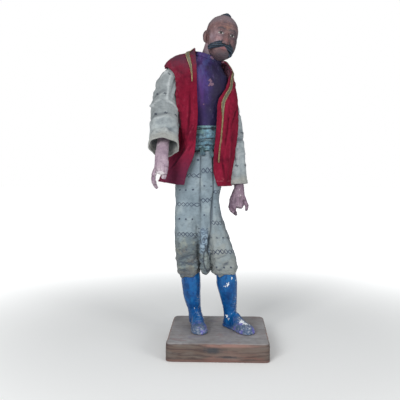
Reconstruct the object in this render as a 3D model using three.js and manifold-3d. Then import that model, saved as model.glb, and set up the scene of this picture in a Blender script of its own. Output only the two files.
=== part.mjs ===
// A nativity crib figure: a moustached attendant with a topknot, standing on a plain wooden block.
// Head, hands, booted legs and chest are carved and painted wood. The clothes are real cloth:
// gathered trousers, wide sleeves, a sash wound twice round the waist, and an open velvet vest with
// a braid along its front edges and round its neck. The figure's own right is at -X, and it faces -Y.
import * as THREE from "three";
import { mergeVertices } from "three/addons/utils/BufferGeometryUtils.js";
import Module from "manifold-3d";

const wasm = await Module();
wasm.setup();

// Driving dimensions, in millimetres.
const FIGURE_HEIGHT = 370; // from the soles to the tip of the topknot
const PLINTH_WIDTH = 114;
const PLINTH_DEPTH = 115;
const PLINTH_HEIGHT = 20.5;
const PLINTH_CORNER = 4; // radius of the upright corners
const PLINTH_EDGE = 3; // radius of the worn top edge
const FIT_GAP = 0.35; // clearance between neighbouring pieces
const VEST_THICKNESS = 1.9; // velvet and lining together
const SLEEVE_WALL = 1.3; // hemmed cotton at the cuff
const CUFF_DEPTH = 17; // how far up each sleeve stays open
const SASH_THICKNESS = 2.6; // two turns of folded cloth
const SASH_HEIGHT = 28.4;
const SASH_CLEARANCE = 0.3; // between the sash and the trousers under it
const SEAT_CLEARANCE = 0.4; // between the trousers and the chest above them
const BRAID_WIDTH = 5;
const BRAID_INSET = 2.4; // from the edge of the velvet
const BRAID_THICKNESS = 0.8;

// The figure's own unit: one millimetre when the figure is as tall as it was measured.
const MEASURED_HEIGHT = 370;
const U = FIGURE_HEIGHT / MEASURED_HEIGHT;
const TAU = Math.PI * 2;

const mix = (a, b, t) => a + (b - a) * t;
const bell = (x, centre, width) => Math.exp(-(((x - centre) / width) ** 2));
const smooth = (low, high, x) => THREE.MathUtils.smoothstep(x, low, high);
const count = (n, make) => Array.from({ length: n }, (_, i) => make(i));

// A smooth curve through the rows of a table: row 0 at t = 0, the last row at t = 1.
function along(table, t) {
  const place = t * (table.length - 1);
  const i = Math.min(Math.floor(place), table.length - 2);
  const f = place - i;
  const row = (k) => table[Math.min(Math.max(k, 0), table.length - 1)];
  const [p, q, r, s] = [row(i - 1), row(i), row(i + 1), row(i + 2)];
  return q.map((value, k) => {
    const leave = (r[k] - p[k]) / 2;
    const arrive = (s[k] - value) / 2;
    return (
      (2 * f ** 3 - 3 * f ** 2 + 1) * value +
      (f ** 3 - 2 * f ** 2 + f) * leave +
      (-2 * f ** 3 + 3 * f ** 2) * r[k] +
      (f ** 3 - f ** 2) * arrive
    );
  });
}

// A closed body through a stack of rings with equally many points; each end is a fan about its middle.
function skin(rings) {
  const sides = rings[0].length;
  const middle = (ring) =>
    ring.reduce((sum, p) => sum.add(p), new THREE.Vector3()).divideScalar(sides);
  const points = [...rings.flat(), middle(rings[0]), middle(rings.at(-1))];
  const first = rings.length * sides;
  const last = (rings.length - 1) * sides;
  const faces = [];
  for (let k = 0; k < sides; k++) {
    const next = (k + 1) % sides;
    faces.push(first, next, k, first + 1, last + k, last + next);
    for (let i = 0; i < last; i += sides)
      faces.push(i + k, i + next, i + sides + k, i + next, i + sides + next, i + sides + k);
  }
  return geometryOf(points, faces);
}

function geometryOf(points, faces) {
  return new THREE.BufferGeometry()
    .setFromPoints(points)
    .setIndex(faces);
}

// A solid of a closed geometry, with its faces pointing out.
function solid(geometry) {
  const bare = geometry.clone();
  bare.deleteAttribute("normal");
  bare.deleteAttribute("uv");
  const merged = mergeVertices(bare, 1e-4);
  const make = (triVerts) =>
    new wasm.Manifold(
      new wasm.Mesh({
        numProp: 3,
        vertProperties: merged.attributes.position.array,
        triVerts,
      }),
    );
  const made = make(new Uint32Array(merged.index.array));
  return made.volume() > 0 ? made : make(new Uint32Array(merged.index.array).reverse());
}

function geometryOfSolid(body) {
  const { vertProperties, triVerts } = body.getMesh();
  return new THREE.BufferGeometry()
    .setAttribute("position", new THREE.BufferAttribute(vertProperties, 3))
    .setIndex(new THREE.BufferAttribute(triVerts, 1));
}

const joined = (...bodies) => bodies.reduce((whole, body) => whole.add(body));
// The largest piece of a body, without the crumbs that a cut can leave.
const mainPiece = (body) =>
  body.decompose().reduce((most, piece) => (piece.volume() > most.volume() ? piece : most));

// Rings along a path. A table row is [x, y, z, half width, half depth] in figure units; the width lies
// along side. grow moves the surface out in millimetres, and fold(angle, t) moves it in figure units.
function sweptRings(table, { sides, steps, side = [1, 0, 0], grow = 0, fold = () => 0 }) {
  const across = new THREE.Vector3(...side);
  const at = (t) => new THREE.Vector3(...along(table, t).slice(0, 3)).multiplyScalar(U);
  return count(steps + 1, (i) => {
    const t = i / steps;
    const [, , , halfWidth, halfDepth] = along(table, t);
    const ahead = at(Math.min(t + 0.01, 1)).sub(at(Math.max(t - 0.01, 0))).normalize();
    const width = across.clone().addScaledVector(ahead, -across.dot(ahead)).normalize();
    const depth = ahead.clone().cross(width);
    const beyond = i === 0 ? -grow : i === steps ? grow : 0;
    const centre = at(t).addScaledVector(ahead, beyond);
    return count(sides, (k) => {
      const angle = (k / sides) * TAU;
      const out = fold(angle, t) * U + grow;
      return centre
        .clone()
        .addScaledVector(width, (halfWidth * U + out) * Math.cos(angle))
        .addScaledVector(depth, (halfDepth * U + out) * Math.sin(angle));
    });
  });
}

const swept = (table, options) => solid(skin(sweptRings(table, options)));

// The block: a rounded rectangle whose top edge is worn round.
function plinth() {
  const outline = (inset) => {
    const corner = Math.max(PLINTH_CORNER - inset, 0.5);
    const [x, y] = [PLINTH_WIDTH / 2 - inset - corner, PLINTH_DEPTH / 2 - inset - corner];
    const turns = 3;
    const centres = [[x, y], [-x, y], [-x, -y], [x, -y]];
    return centres.flatMap(([cx, cy], quarter) =>
      count(turns + 1, (k) => {
        const angle = ((quarter + k / turns) * Math.PI) / 2;
        return [cx + corner * Math.cos(angle), cy + corner * Math.sin(angle)];
      }),
    );
  };
  const level = (inset, z) => outline(inset).map(([x, y]) => new THREE.Vector3(x, y, z));
  const bevel = 0.8;
  const edgeSteps = 3;
  const edge = count(edgeSteps + 1, (k) => {
    const angle = ((k / edgeSteps) * Math.PI) / 2;
    const inset = PLINTH_EDGE * (1 - Math.cos(angle));
    return level(inset, PLINTH_HEIGHT - PLINTH_EDGE * (1 - Math.sin(angle)));
  });
  return skin([level(bevel, 0), level(0, bevel), ...edge]);
}

// A booted leg: the calf narrows to the ankle, and the foot runs from the heel to the toe.
const RIGHT_CALF = [
  [-33.2, 5, 74, 10.4, 11],
  [-32, 5, 54, 11.2, 11.8],
  [-31, 6.5, 37, 9.8, 10.6],
  [-29, 9, 24, 8, 9],
  [-27.6, 10.5, 14, 7.7, 9.2],
  [-27, 11, 5, 7.4, 9.4],
];
const LEFT_CALF = [
  [8.6, 4, 74, 11, 11.6],
  [10.2, 4.5, 54, 12, 12.4],
  [12.3, 6, 37, 10.1, 10.8],
  [13.7, 7.5, 24, 8, 9.2],
  [14, 8.5, 14, 7.6, 9],
  [13.6, 9, 5, 7.4, 8.6],
];
// A row is [share of the foot's length, half width, height].
const FOOT = [
  [0, 3.6, 7],
  [0.06, 6.4, 13],
  [0.25, 7.5, 20],
  [0.45, 7.6, 19],
  [0.62, 8.6, 13],
  [0.8, 9.2, 9.6],
  [0.93, 7.4, 7.6],
  [1, 3, 4],
];

function boot(calf, heel, toe, grow = 0) {
  const [from, to] = [new THREE.Vector3(...heel, 0), new THREE.Vector3(...toe, 0)];
  const across = to.clone().sub(from).normalize().cross(new THREE.Vector3(0, 0, 1));
  const sides = 12;
  const steps = 7;
  const foot = count(steps + 1, (i) => {
    const [share, halfWidth, height] = along(FOOT, i / steps);
    const middle = from.clone().lerp(to, share);
    return count(sides, (k) => {
      const angle = (k / sides) * TAU;
      const welt = Math.sin(angle) < 0 ? 0.93 : 1;
      const p = middle.clone().addScaledVector(across, halfWidth * welt * Math.cos(angle));
      p.z = Math.sin(angle) < 0 ? 0 : 1.2 + (height - 1.2) * Math.sin(angle) ** 0.8;
      return p.multiplyScalar(U);
    });
  });
  return joined(solid(skin(foot)), swept(calf, { sides, steps: 6, grow }));
}
const rightBoot = (grow) => boot(RIGHT_CALF, [-27.6, 23], [-21.6, -26.5], grow);
const leftBoot = (grow) => boot(LEFT_CALF, [8.6, 16.5], [38.2, -24.5], grow);

const SASH_TOP = 237.5;
const TROUSER_TOP = SASH_TOP - (SASH_HEIGHT + SASH_CLEARANCE) / U;

// The trousers: the seat, two full legs gathered in under the knee, and the spare cloth that hangs
// between them. Upright folds run down each leg, deeper where the cloth is gathered.
const SEAT = [
  [-15, 3, TROUSER_TOP, 18.3, 14.8],
  [-15.2, 3, TROUSER_TOP - 5.4, 20.6, 17],
  [-19, 3, 190, 24.8, 19.8],
  [-23, 3, 170, 26.4, 20.5],
  [-24, 3, 145, 24, 19],
  [-21, 3, 122, 15, 12.5],
  [-18.5, 2, 111, 6, 7],
];
const RIGHT_TROUSER = [
  [-30, 2, 198, 10, 14],
  [-36, 1, 172, 13.8, 18],
  [-36.6, 1, 150, 14.2, 18.5],
  [-36.8, 1, 124, 14.4, 18.5],
  [-36.4, 2, 98, 14.8, 18],
  [-35.2, 3.5, 76, 14.4, 16.5],
  [-34.2, 4.5, 65.5, 12.4, 13.6],
  [-33.6, 5, 62, 9, 9.6],
];
const LEFT_TROUSER = [
  [-13, 3, 190, 12, 17],
  [-10.8, 2, 158, 11.6, 18],
  [-7.4, 1, 130, 12.4, 18],
  [1, 1.5, 102, 14, 18],
  [6, 3, 80, 15.6, 17.2],
  [8, 4, 68, 14.4, 14.8],
  [8.8, 4.5, 62.5, 9.8, 10.2],
];
const SPARE_CLOTH = [
  [-18, -2, 168, 8, 13],
  [-17.6, -4, 132, 7, 14],
  [-17.4, -4, 100, 6, 12],
  [-16, -4, 79, 5.8, 9],
  [-15.6, -4, 68.5, 4.6, 7],
  [-15.6, -4, 65, 2, 3],
];

const legFolds = (phase) => (angle, t) =>
  mix(0.35, 1.1, smooth(0.35, 0.95, t)) * Math.cos(5 * angle + phase) * smooth(0, 0.15, t) +
  0.5 * Math.cos(9 * angle + 2 * phase) * smooth(0.7, 0.95, t);

function trousers() {
  const cloth = joined(
    swept(SEAT, { sides: 20, steps: 9 }),
    swept(RIGHT_TROUSER, { sides: 16, steps: 10, fold: legFolds(0.6) }),
    swept(LEFT_TROUSER, { sides: 16, steps: 10, fold: legFolds(2.1) }),
    swept(SPARE_CLOTH, { sides: 8, steps: 6 }),
  );
  return mainPiece(cloth.subtract(joined(rightBoot(FIT_GAP), leftBoot(FIT_GAP))));
}

// The chest and its high collar: level sections that turn with the shoulders and tilt with them.
// A row is [height, x, y, half width, half depth, tilt].
const WAIST = [-14.5, 2.5, 17.6, 13.6, 0];
const CHEST = [
  [TROUSER_TOP + SEAT_CLEARANCE / U, ...WAIST],
  [224, ...WAIST],
  [242, ...WAIST],
  [262, -15.5, 1.5, 23.5, 16, -0.06],
  [283, -16.5, 1, 29.5, 17.4, -0.15],
  [299, -16.5, 1.5, 28.5, 16.6, -0.24],
  [309, -14.5, 2.5, 21.5, 14.6, -0.3],
  [315.5, -12, 3, 14.6, 12.6, -0.34],
  [321, -10.2, 3, 12.4, 11.8, -0.36],
];
const BODY_TURN = THREE.MathUtils.degToRad(18);

// A point of a level section: angle 0 faces front, and a quarter turn on is the figure's right.
function sectionPoint([z, x, y, halfWidth, halfDepth, tilt], angle, out = 0) {
  const sideways = -(halfWidth + out) * Math.sin(angle);
  const back = -(halfDepth + out) * Math.cos(angle);
  const turned = sideways * Math.cos(BODY_TURN) - back * Math.sin(BODY_TURN);
  return new THREE.Vector3(
    x + turned,
    y + sideways * Math.sin(BODY_TURN) + back * Math.cos(BODY_TURN),
    z + tilt * turned,
  ).multiplyScalar(U);
}

const CHEST_SIDES = 22;
function torso(grow = 0) {
  const sides = CHEST_SIDES;
  const steps = 11;
  return solid(
    skin(
      count(steps + 1, (i) => {
        const t = i / steps;
        const row = along(CHEST, t);
        row[0] += (i === 0 ? -grow : i === steps ? grow : 0) / U;
        return count(sides, (k) => {
          const angle = (k / sides) * TAU;
          const front = Math.max(Math.cos(angle), 0);
          const chest = 1.5 * bell(t, 0.56, 0.13) * front * bell(Math.abs(Math.sin(angle)), 0.5, 0.35);
          return sectionPoint(row, angle, chest + grow / U);
        });
      }),
    ),
  );
}

// The sash: a band wound twice, the second turn standing a little proud of the first, with its two
// ends hanging out below it at the front.
const SASH_TURNS = [
  [0, 0.35],
  [0.04, 0.8],
  [0.14, 0.72],
  [0.2, 0.95],
  [0.44, 1],
  [0.52, 0.72],
  [0.58, 0.86],
  [0.86, 1],
  [1, 0.45],
];
const SASH_ENDS = [
  [
    [-17, -13.4, 218, 2.6, 1.4],
    [-17.4, -15, 209.5, 3.4, 1.8],
    [-16.6, -17.8, 202.5, 1.8, 1.2],
  ],
  [
    [-9, -12.8, 217, 2.2, 1.4],
    [-8.8, -14.4, 209, 2.6, 1.8],
    [-8.6, -16.8, 202, 2.4, 1.6],
    [-8.4, -17.4, 198, 1.2, 0.9],
  ],
];
function sash() {
  const ring = (z, out) =>
    count(CHEST_SIDES, (k) => sectionPoint([z, ...WAIST], (k / CHEST_SIDES) * TAU, out / U));
  const turns = SASH_TURNS.map(([share, proud]) =>
    ring(SASH_TOP - (share * SASH_HEIGHT) / U, FIT_GAP + proud * SASH_THICKNESS),
  );
  const hole = [SASH_TOP + 5, SASH_TOP - SASH_HEIGHT / U - 0.5].map((z) => ring(z, FIT_GAP));
  const ends = SASH_ENDS.map((table) => swept(table, { sides: 8, steps: 4 }));
  return mainPiece(joined(solid(skin(turns)), ...ends).subtract(solid(skin(hole))));
}

// A thin closed body over the cells of a grid that a test keeps, between an outer and an inner offset
// of the grid along its own normals, in millimetres.
function shell(grid, from, to, kept = () => true) {
  const [rows, columns] = [grid.length - 1, grid[0].length - 1];
  const has = (i, k) => i >= 0 && k >= 0 && i < rows && k < columns && kept(i, k);
  const points = [...offsetGrid(grid, from).flat(), ...offsetGrid(grid, to).flat()];
  const at = (side, i, k) => (side * (rows + 1) + i) * (columns + 1) + k;
  const faces = [];
  const quad = (p, q, r, s) => faces.push(p, q, r, p, r, s);
  const wall = (i, k, j, m) => quad(at(0, i, k), at(0, j, m), at(1, j, m), at(1, i, k));
  for (let i = 0; i < rows; i++)
    for (let k = 0; k < columns; k++) {
      if (!has(i, k)) continue;
      quad(at(0, i, k), at(0, i, k + 1), at(0, i + 1, k + 1), at(0, i + 1, k));
      quad(at(1, i, k), at(1, i + 1, k), at(1, i + 1, k + 1), at(1, i, k + 1));
      if (!has(i - 1, k)) wall(i, k + 1, i, k);
      if (!has(i + 1, k)) wall(i + 1, k, i + 1, k + 1);
      if (!has(i, k - 1)) wall(i, k, i + 1, k);
      if (!has(i, k + 1)) wall(i + 1, k + 1, i, k + 1);
    }
  return geometryOf(points, faces);
}

function offsetGrid(grid, distance) {
  const clampAt = (list, i) => list[Math.min(Math.max(i, 0), list.length - 1)];
  return grid.map((row, i) =>
    row.map((point, k) => {
      const down = clampAt(grid, i + 1)[k].clone().sub(clampAt(grid, i - 1)[k]);
      const round = clampAt(row, k + 1).clone().sub(clampAt(row, k - 1));
      return point.clone().addScaledVector(round.cross(down).normalize(), distance);
    }),
  );
}

// The vest hangs from the neck and the shoulders like a bell that is open in front. A row is [height,
// x, y, half width, half depth, tilt, x of the right front edge, x of the left front edge].
const VEST = [
  [321.5, -11.6, 3, 16.4, 15.2, -0.25, -27, 4],
  [318.5, -15.4, 2.6, 21, 16.8, -0.15, -26.3, 5.5],
  [314.5, -19.4, 2, 30, 18, -0.12, -25.6, 9.5],
  [306.5, -21.2, 1.2, 38.6, 20, -0.12, -24.6, 15],
  [297, -22.2, 0.6, 42.2, 21, -0.12, -24.2, 12.5],
  [284, -21.6, 0.2, 44.2, 22, -0.1, -23.9, 9],
  [266, -20.2, 0, 45.2, 22.6, -0.06, -23.4, 0.4],
  [248, -19, 0, 44.2, 22.6, -0.04, -22.9, -0.6],
  [225, -18.3, 0.5, 41.6, 22.8, -0.04, -24.8, -2],
  [205, -20.2, 1, 41, 23.4, -0.04, -27, -4.1],
  [185, -23.8, 1.8, 41.4, 24.6, -0.04, -34.5, -3.9],
  [169.5, -26.5, 2.5, 42.4, 25.5, -0.04, -38.3, -0.9],
];
const VEST_FLUTE = 1.5; // how deep the upright folds are at the hem
// Where the arms press the cloth in: [angle, width of it, depth, height, reach up and down].
const VEST_DENTS = [
  [1.15, 0.45, 8, 220, 26],
  [4.24, 0.42, 9.5, 225, 55],
];

// The angle at which a level section reaches a given x on its front, going from the middle.
function frontAngle([, x, , halfWidth, halfDepth], target) {
  const [side, face] = [halfWidth * Math.cos(BODY_TURN), halfDepth * Math.sin(BODY_TURN)];
  const reach = THREE.MathUtils.clamp((target - x) / Math.hypot(side, face), -0.995, 0.995);
  return Math.atan2(face, side) - Math.asin(reach);
}

// The outer face of the velvet: down runs from the neck to the hem, and round runs from the right
// front edge, round the back, to the left front edge.
function vestPoint(down, round) {
  const row = along(VEST, down);
  const angle = mix(frontAngle(row, row[6]), frontAngle(row, row[7]) + TAU, round);
  const flute = VEST_FLUTE * smooth(0.35, 1, down) * Math.cos(8 * angle + 1.2 * Math.sin(2 * angle));
  const collar = 3.4 * bell(down, 0, 0.03) * bell(round, 0.03, 0.03);
  const lift = 2.4 * smooth(0.8, 1, down) * bell(angle, Math.PI / 2, 0.7);
  const dents = VEST_DENTS.map(
    ([at, width, depth, height, reach]) => depth * bell(angle, at, width) * bell(row[0], height, reach),
  );
  const raised = new THREE.Vector3(0, 0, (collar + lift) * U);
  return sectionPoint(row, angle, flute - dents[0] - dents[1]).add(raised);
}

// The grid of the velvet. Its lines follow the edges of the braid, which lies a little in from the
// edges of the cloth.
const VEST_ROWS = 13;
const VEST_COLUMNS = 26;
function vestGrid() {
  const length = (points) =>
    points.slice(1).reduce((sum, point, i) => sum + point.distanceTo(points[i]), 0);
  const inset = BRAID_INSET * U;
  const strip = BRAID_WIDTH * U;
  const lines = (whole, cells, bothEnds) => {
    const near = [0, inset / whole, (inset + strip) / whole];
    const far = bothEnds ? near.map((share) => 1 - share).reverse() : [1];
    const spare = cells - near.length - far.length + 1;
    return [...near, ...count(spare, (i) => mix(near.at(-1), far[0], (i + 1) / (spare + 1))), ...far];
  };
  const neckToHem = length(count(40, (i) => vestPoint(i / 39, 0.2)));
  return lines(neckToHem, VEST_ROWS, false).map((down) => {
    const edgeToEdge = length(count(40, (k) => vestPoint(down, k / 39)));
    return lines(edgeToEdge, VEST_COLUMNS, true).map((round) => vestPoint(down, round));
  });
}

// An armhole is an upright ellipse carried outward through the cloth.
const ARMHOLE_RIGHT = {
  side: [0, 1, 0],
  table: [
    [-24, -2, 266, 17, 36],
    [-50, -7, 268, 17.4, 37],
    [-90, -15, 270, 17.4, 37],
  ],
};
const ARMHOLE_LEFT = {
  side: [0.89, -0.46, 0],
  table: [
    [5, 4, 263, 11.5, 29],
    [14, 22, 261, 11.5, 29],
    [26, 46, 259, 11.5, 29],
  ],
};

function vest() {
  const cloth = solid(shell(vestGrid(), 0, -VEST_THICKNESS));
  const holes = [ARMHOLE_RIGHT, ARMHOLE_LEFT].map(({ table, side }) =>
    swept(table, { sides: 16, steps: 2, side }),
  );
  const worn = joined(...holes, rightSleeveBody(FIT_GAP), leftSleeveBody(FIT_GAP));
  return mainPiece(cloth.subtract(worn));
}

// The braid sewn on the velvet round the neck and down the front edges. On the right it goes down to
// where that edge is folded in, on the left to below the waist.
const BRAID_RIGHT_END = 6;
const BRAID_LEFT_END = 10;
function braid() {
  const last = VEST_COLUMNS - 2;
  const kept = (i, k) =>
    (i === 1 && k >= 1 && k <= last) ||
    (k === 1 && i >= 1 && i < BRAID_RIGHT_END) ||
    (k === last && i >= 1 && i < BRAID_LEFT_END);
  return shell(vestGrid(), BRAID_THICKNESS + FIT_GAP, FIT_GAP, kept);
}

// A wide sleeve: a closed tube of cloth about the arm, open at the cuff.
const RIGHT_SLEEVE = [
  [-42, -4, 297, 9, 9],
  [-50, -6.5, 294, 12, 12],
  [-55.8, -9, 285, 14, 14],
  [-59, -12, 268, 15, 15.4],
  [-60, -16, 250, 15.4, 16.8],
  [-60.3, -25, 231, 15.9, 17.6],
  [-60.1, -38, 212, 16.4, 18.5],
];
const LEFT_SLEEVE = [
  [0, 10, 288, 8, 8.5],
  [6, 14, 281, 10.5, 10.5],
  [10.6, 18.4, 268, 11.4, 11.8],
  [13.8, 21.4, 252, 11.8, 12],
  [16.8, 22.4, 232, 11.8, 12.2],
  [18.6, 21.8, 212, 11.8, 12.2],
  [20.4, 20.4, 191, 11.8, 12],
  [22.4, 18.6, 169.4, 11.8, 12],
];
const sleeveFolds = (phase) => (angle, t) =>
  smooth(0.1, 0.4, t) * (0.7 * Math.cos(3 * angle + phase + 5 * t) + 0.45 * Math.cos(7 * angle - 4 * t));

const rightSleeveBody = (grow = 0) =>
  swept(RIGHT_SLEEVE, { sides: 16, steps: 9, grow, fold: sleeveFolds(0.4) });
const leftSleeveBody = (grow = 0) =>
  swept(LEFT_SLEEVE, { sides: 14, steps: 9, grow, fold: sleeveFolds(2) });

// The last part of a table, from a share of its length to a little beyond its end.
function cuffTable(table, from) {
  const rows = count(5, (i) => along(table, mix(from, 1, i / 4)));
  const [before, last] = rows.slice(-2);
  return [...rows, last.map((value, k) => (k < 3 ? value + (value - before[k]) * 0.5 : value))];
}

function sleeve(body, table, wrist) {
  const places = table.map((row) => new THREE.Vector3(...row.slice(0, 3)));
  const reach = places.slice(1).reduce((sum, place, i) => sum + place.distanceTo(places[i]), 0) * U;
  const hollow = swept(cuffTable(table, 1 - CUFF_DEPTH / reach), {
    sides: 14,
    steps: 2,
    grow: -SLEEVE_WALL,
  });
  return mainPiece(body.subtract(joined(hollow, torso(FIT_GAP), wrist)));
}
const rightSleeve = () => sleeve(rightSleeveBody(), RIGHT_SLEEVE, rightPalm(FIT_GAP));
const leftSleeve = () => sleeve(leftSleeveBody(), LEFT_SLEEVE, leftPalm(FIT_GAP));

// A hand: a wrist that widens to the palm, with its fingers as curved tapering rods. The right one
// keeps its little finger and its thumb; the others are broken off at the knuckles.
const finger = (table) => swept(table, { sides: 6, steps: 4 });
const RIGHT_PALM = [
  [-60.3, -29.1, 225, 6.6, 6],
  [-61, -37.6, 212.4, 6.8, 5.7],
  [-61.3, -45, 203, 7.3, 5],
  [-61, -49.5, 194, 7.6, 4.6],
  [-61.5, -51.5, 187, 7.4, 4.3],
  [-63, -52, 183, 5, 3.2],
];
const rightPalm = (grow = 0) => swept(RIGHT_PALM, { sides: 10, steps: 7, grow });
function rightHand() {
  return joined(
    rightPalm(),
    finger([
      [-66, -51, 190, 2.6, 2.8],
      [-68.6, -52.5, 184, 2.5, 2.6],
      [-69.4, -52, 177, 2.3, 2.4],
      [-68.2, -49, 171, 2.1, 2.2],
      [-66.2, -46, 167.4, 1.5, 1.6],
    ]),
    finger([
      [-57.6, -47, 200, 3, 3],
      [-57, -50, 191, 3.1, 3],
      [-57.6, -52, 183, 2.9, 2.8],
      [-58.8, -52, 177.8, 2.4, 2.2],
    ]),
  );
}

const LEFT_PALM = [
  [20.8, 20.2, 185.8, 6, 6],
  [23.4, 18.6, 174, 6, 5.8],
  [24.6, 18, 165.4, 5.9, 5.6],
  [23.6, 16.4, 157.4, 8.1, 5.4],
  [22.2, 14.8, 149.2, 9.3, 5],
  [20.6, 12, 142.6, 8.1, 4.4],
];
const leftPalm = (grow = 0) => swept(LEFT_PALM, { sides: 10, steps: 7, grow });
function leftHand() {
  return joined(
    leftPalm(),
    finger([
      [15.4, 13.4, 148.2, 2.4, 2.4],
      [14.4, 9.4, 142.2, 2.4, 2.4],
      [16.6, 5.4, 138.2, 2.1, 2.2],
      [19.4, 3.4, 136.2, 1.6, 1.6],
    ]),
    finger([
      [19, 13.4, 146.2, 2.6, 2.6],
      [18.4, 9, 139.6, 2.5, 2.5],
      [20, 5.4, 135.6, 2.2, 2.3],
      [21.6, 4, 133.8, 1.5, 1.5],
    ]),
    finger([
      [28.4, 16, 157.4, 2.8, 2.8],
      [31, 12.8, 150.4, 2.5, 2.6],
      [33.6, 10, 143.8, 2.2, 2.3],
      [32.8, 8.4, 138.4, 1.5, 1.5],
    ]),
  );
}

// The head looks along -Y in its own frame, with its middle at the origin.
const HEAD_MIDDLE = [3.7, -3, 341.5];
const HEAD_TURN = new THREE.Matrix4()
  .makeRotationY(THREE.MathUtils.degToRad(13))
  .multiply(new THREE.Matrix4().makeRotationZ(THREE.MathUtils.degToRad(25)))
  .multiply(new THREE.Matrix4().makeRotationX(THREE.MathUtils.degToRad(1)));
const SKULL = { middle: [0, 2.4, 5], half: [17.9, 20.6, 18.6] };
const JAW = { middle: [0, -5.4, -8], half: [13.2, 13.4, 16.4] };

const MOUSTACHE = [
  [-15.4, 8], // how far each side spreads and how far its tip hangs
  [13.6, 11],
];

// How far a ray from the origin goes before it leaves an ellipsoid about it.
function reachTo({ middle, half }, direction) {
  const d = direction.map((value, k) => value / half[k]);
  const m = middle.map((value, k) => value / half[k]);
  const dot = (a, b) => a.reduce((sum, value, k) => sum + value * b[k], 0);
  const [dd, dm, mm] = [dot(d, d), dot(d, m), dot(m, m)];
  return (dm + Math.sqrt(Math.max(dm * dm - dd * (mm - 1), 0))) / dd;
}

function headPoint(longitude, latitude) {
  const level = Math.cos(latitude);
  const direction = [level * Math.sin(longitude), -level * Math.cos(longitude), Math.sin(latitude)];
  const [a, b] = [reachTo(SKULL, direction), reachTo(JAW, direction)];
  const blend = 2.2;
  const radius = blend * Math.log(Math.exp(a / blend) + Math.exp(b / blend));
  const [x, , z] = direction.map((value) => value * radius);
  const facing = smooth(0.2, 0.7, -direction[1]);
  const side = Math.abs(x);
  const noseWidth = mix(3.6, 2.2, smooth(-8, 3, z));
  const nose = 5.4 * bell(x, 0, noseWidth) * (1 - smooth(-6, 4, z)) * smooth(-11.6, -9, z);
  const brow = 1.1 * bell(z, 4.4, 2.4) * bell(side, 6.5, 5);
  const socket = -1.7 * bell(z, -0.4, 3) * bell(side, 6.6, 3.6);
  const eye = 1.1 * bell(z, -0.7, 1.6) * bell(side, 6.8, 2.4);
  const cheek = 0.8 * bell(z, -6.5, 4) * bell(side, 9, 3.6);
  const lips = 0.9 * bell(z, -15.6, 1.8) * bell(x, 0, 4.4);
  const chin = 1.1 * bell(z, -21, 3) * bell(x, 0, 5.5);
  const out = radius + facing * (nose + brow + socket + eye + cheek + lips + chin);
  return headToFigure(direction.map((value) => value * out));
}
const headToFigure = (p) =>
  new THREE.Vector3(...p)
    .applyMatrix4(HEAD_TURN)
    .add(new THREE.Vector3(...HEAD_MIDDLE))
    .multiplyScalar(U);

const NECK = [
  [-10.5, 2.5, 310, 9.2, 9],
  [-9.6, 2.4, 316, 9.6, 9.3],
  [-5.4, 1, 326, 9.3, 9.4],
  [-1.4, 0, 335, 8.8, 9.6],
  [0.6, -1, 342, 8.6, 9.6],
];
const neck = (grow = 0) => swept(NECK, { sides: 12, steps: 3, grow });
const neckRoom = () => neck(FIT_GAP);

function head() {
  const [rows, sides] = [14, 20];
  const skull = skin(
    count(rows - 1, (i) => {
      const latitude = ((i + 1) / rows - 0.5) * Math.PI;
      return count(sides, (k) => headPoint((k / sides) * TAU, latitude));
    }),
  );
  const placed = (table) =>
    table.map(([x, y, z, a, b]) => [...headToFigure([x, y, z]).divideScalar(U), a, b]);
  const moustache = MOUSTACHE.map(([spread, droop]) =>
    swept(
      placed([
        [spread * -0.06, -17.4, -11.6, 1.8, 1.4],
        [spread * 0.24, -18.4, -12, 3.1, 2.3],
        [spread * 0.56, -16.8, -12 - droop * 0.2, 3.5, 2.6],
        [spread * 0.82, -14, -12 - droop * 0.45, 3.3, 2.5],
        [spread * 0.97, -11.6, -12 - droop * 0.75, 2.6, 2.1],
        [spread, -10.4, -12 - droop, 1.1, 1],
      ]),
      { sides: 7, steps: 6, side: [0, 0, 1] },
    ),
  );
  const ears = [-1, 1].map((hand) =>
    swept(
      placed([
        [hand * 16.6, 4, 3.6, 1.2, 1.8],
        [hand * 17.6, 4.6, 1.6, 2.6, 3.6],
        [hand * 17.8, 4.6, -2.4, 2.9, 3.8],
        [hand * 16.4, 3.8, -7, 2.4, 2.6],
        [hand * 14.6, 3, -9.4, 1.2, 1.2],
      ]),
      { sides: 7, steps: 4 },
    ),
  );
  const topknot = swept(
    placed([
      [-6.5, 3, 21.2, 1.4, 1.4],
      [-3.4, 3.2, 23.4, 2.8, 2.4],
      [0.8, 3.4, 25, 3.7, 2.9],
      [3.8, 3.6, 24.4, 3.3, 2.8],
      [5.6, 3.8, 21.8, 1.9, 1.9],
      [6, 3.8, 19.8, 0.8, 0.8],
    ]),
    { sides: 8, steps: 6, side: [0, 1, 0] },
  );
  return joined(solid(skull), ...moustache, ...ears, topknot, neck());
}

const figure = new THREE.Group();
figure.name = "figure";
figure.position.z = PLINTH_HEIGHT + FIT_GAP;
const object = new THREE.Group();
object.name = "crib_figure";
object.add(figure);

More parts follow.
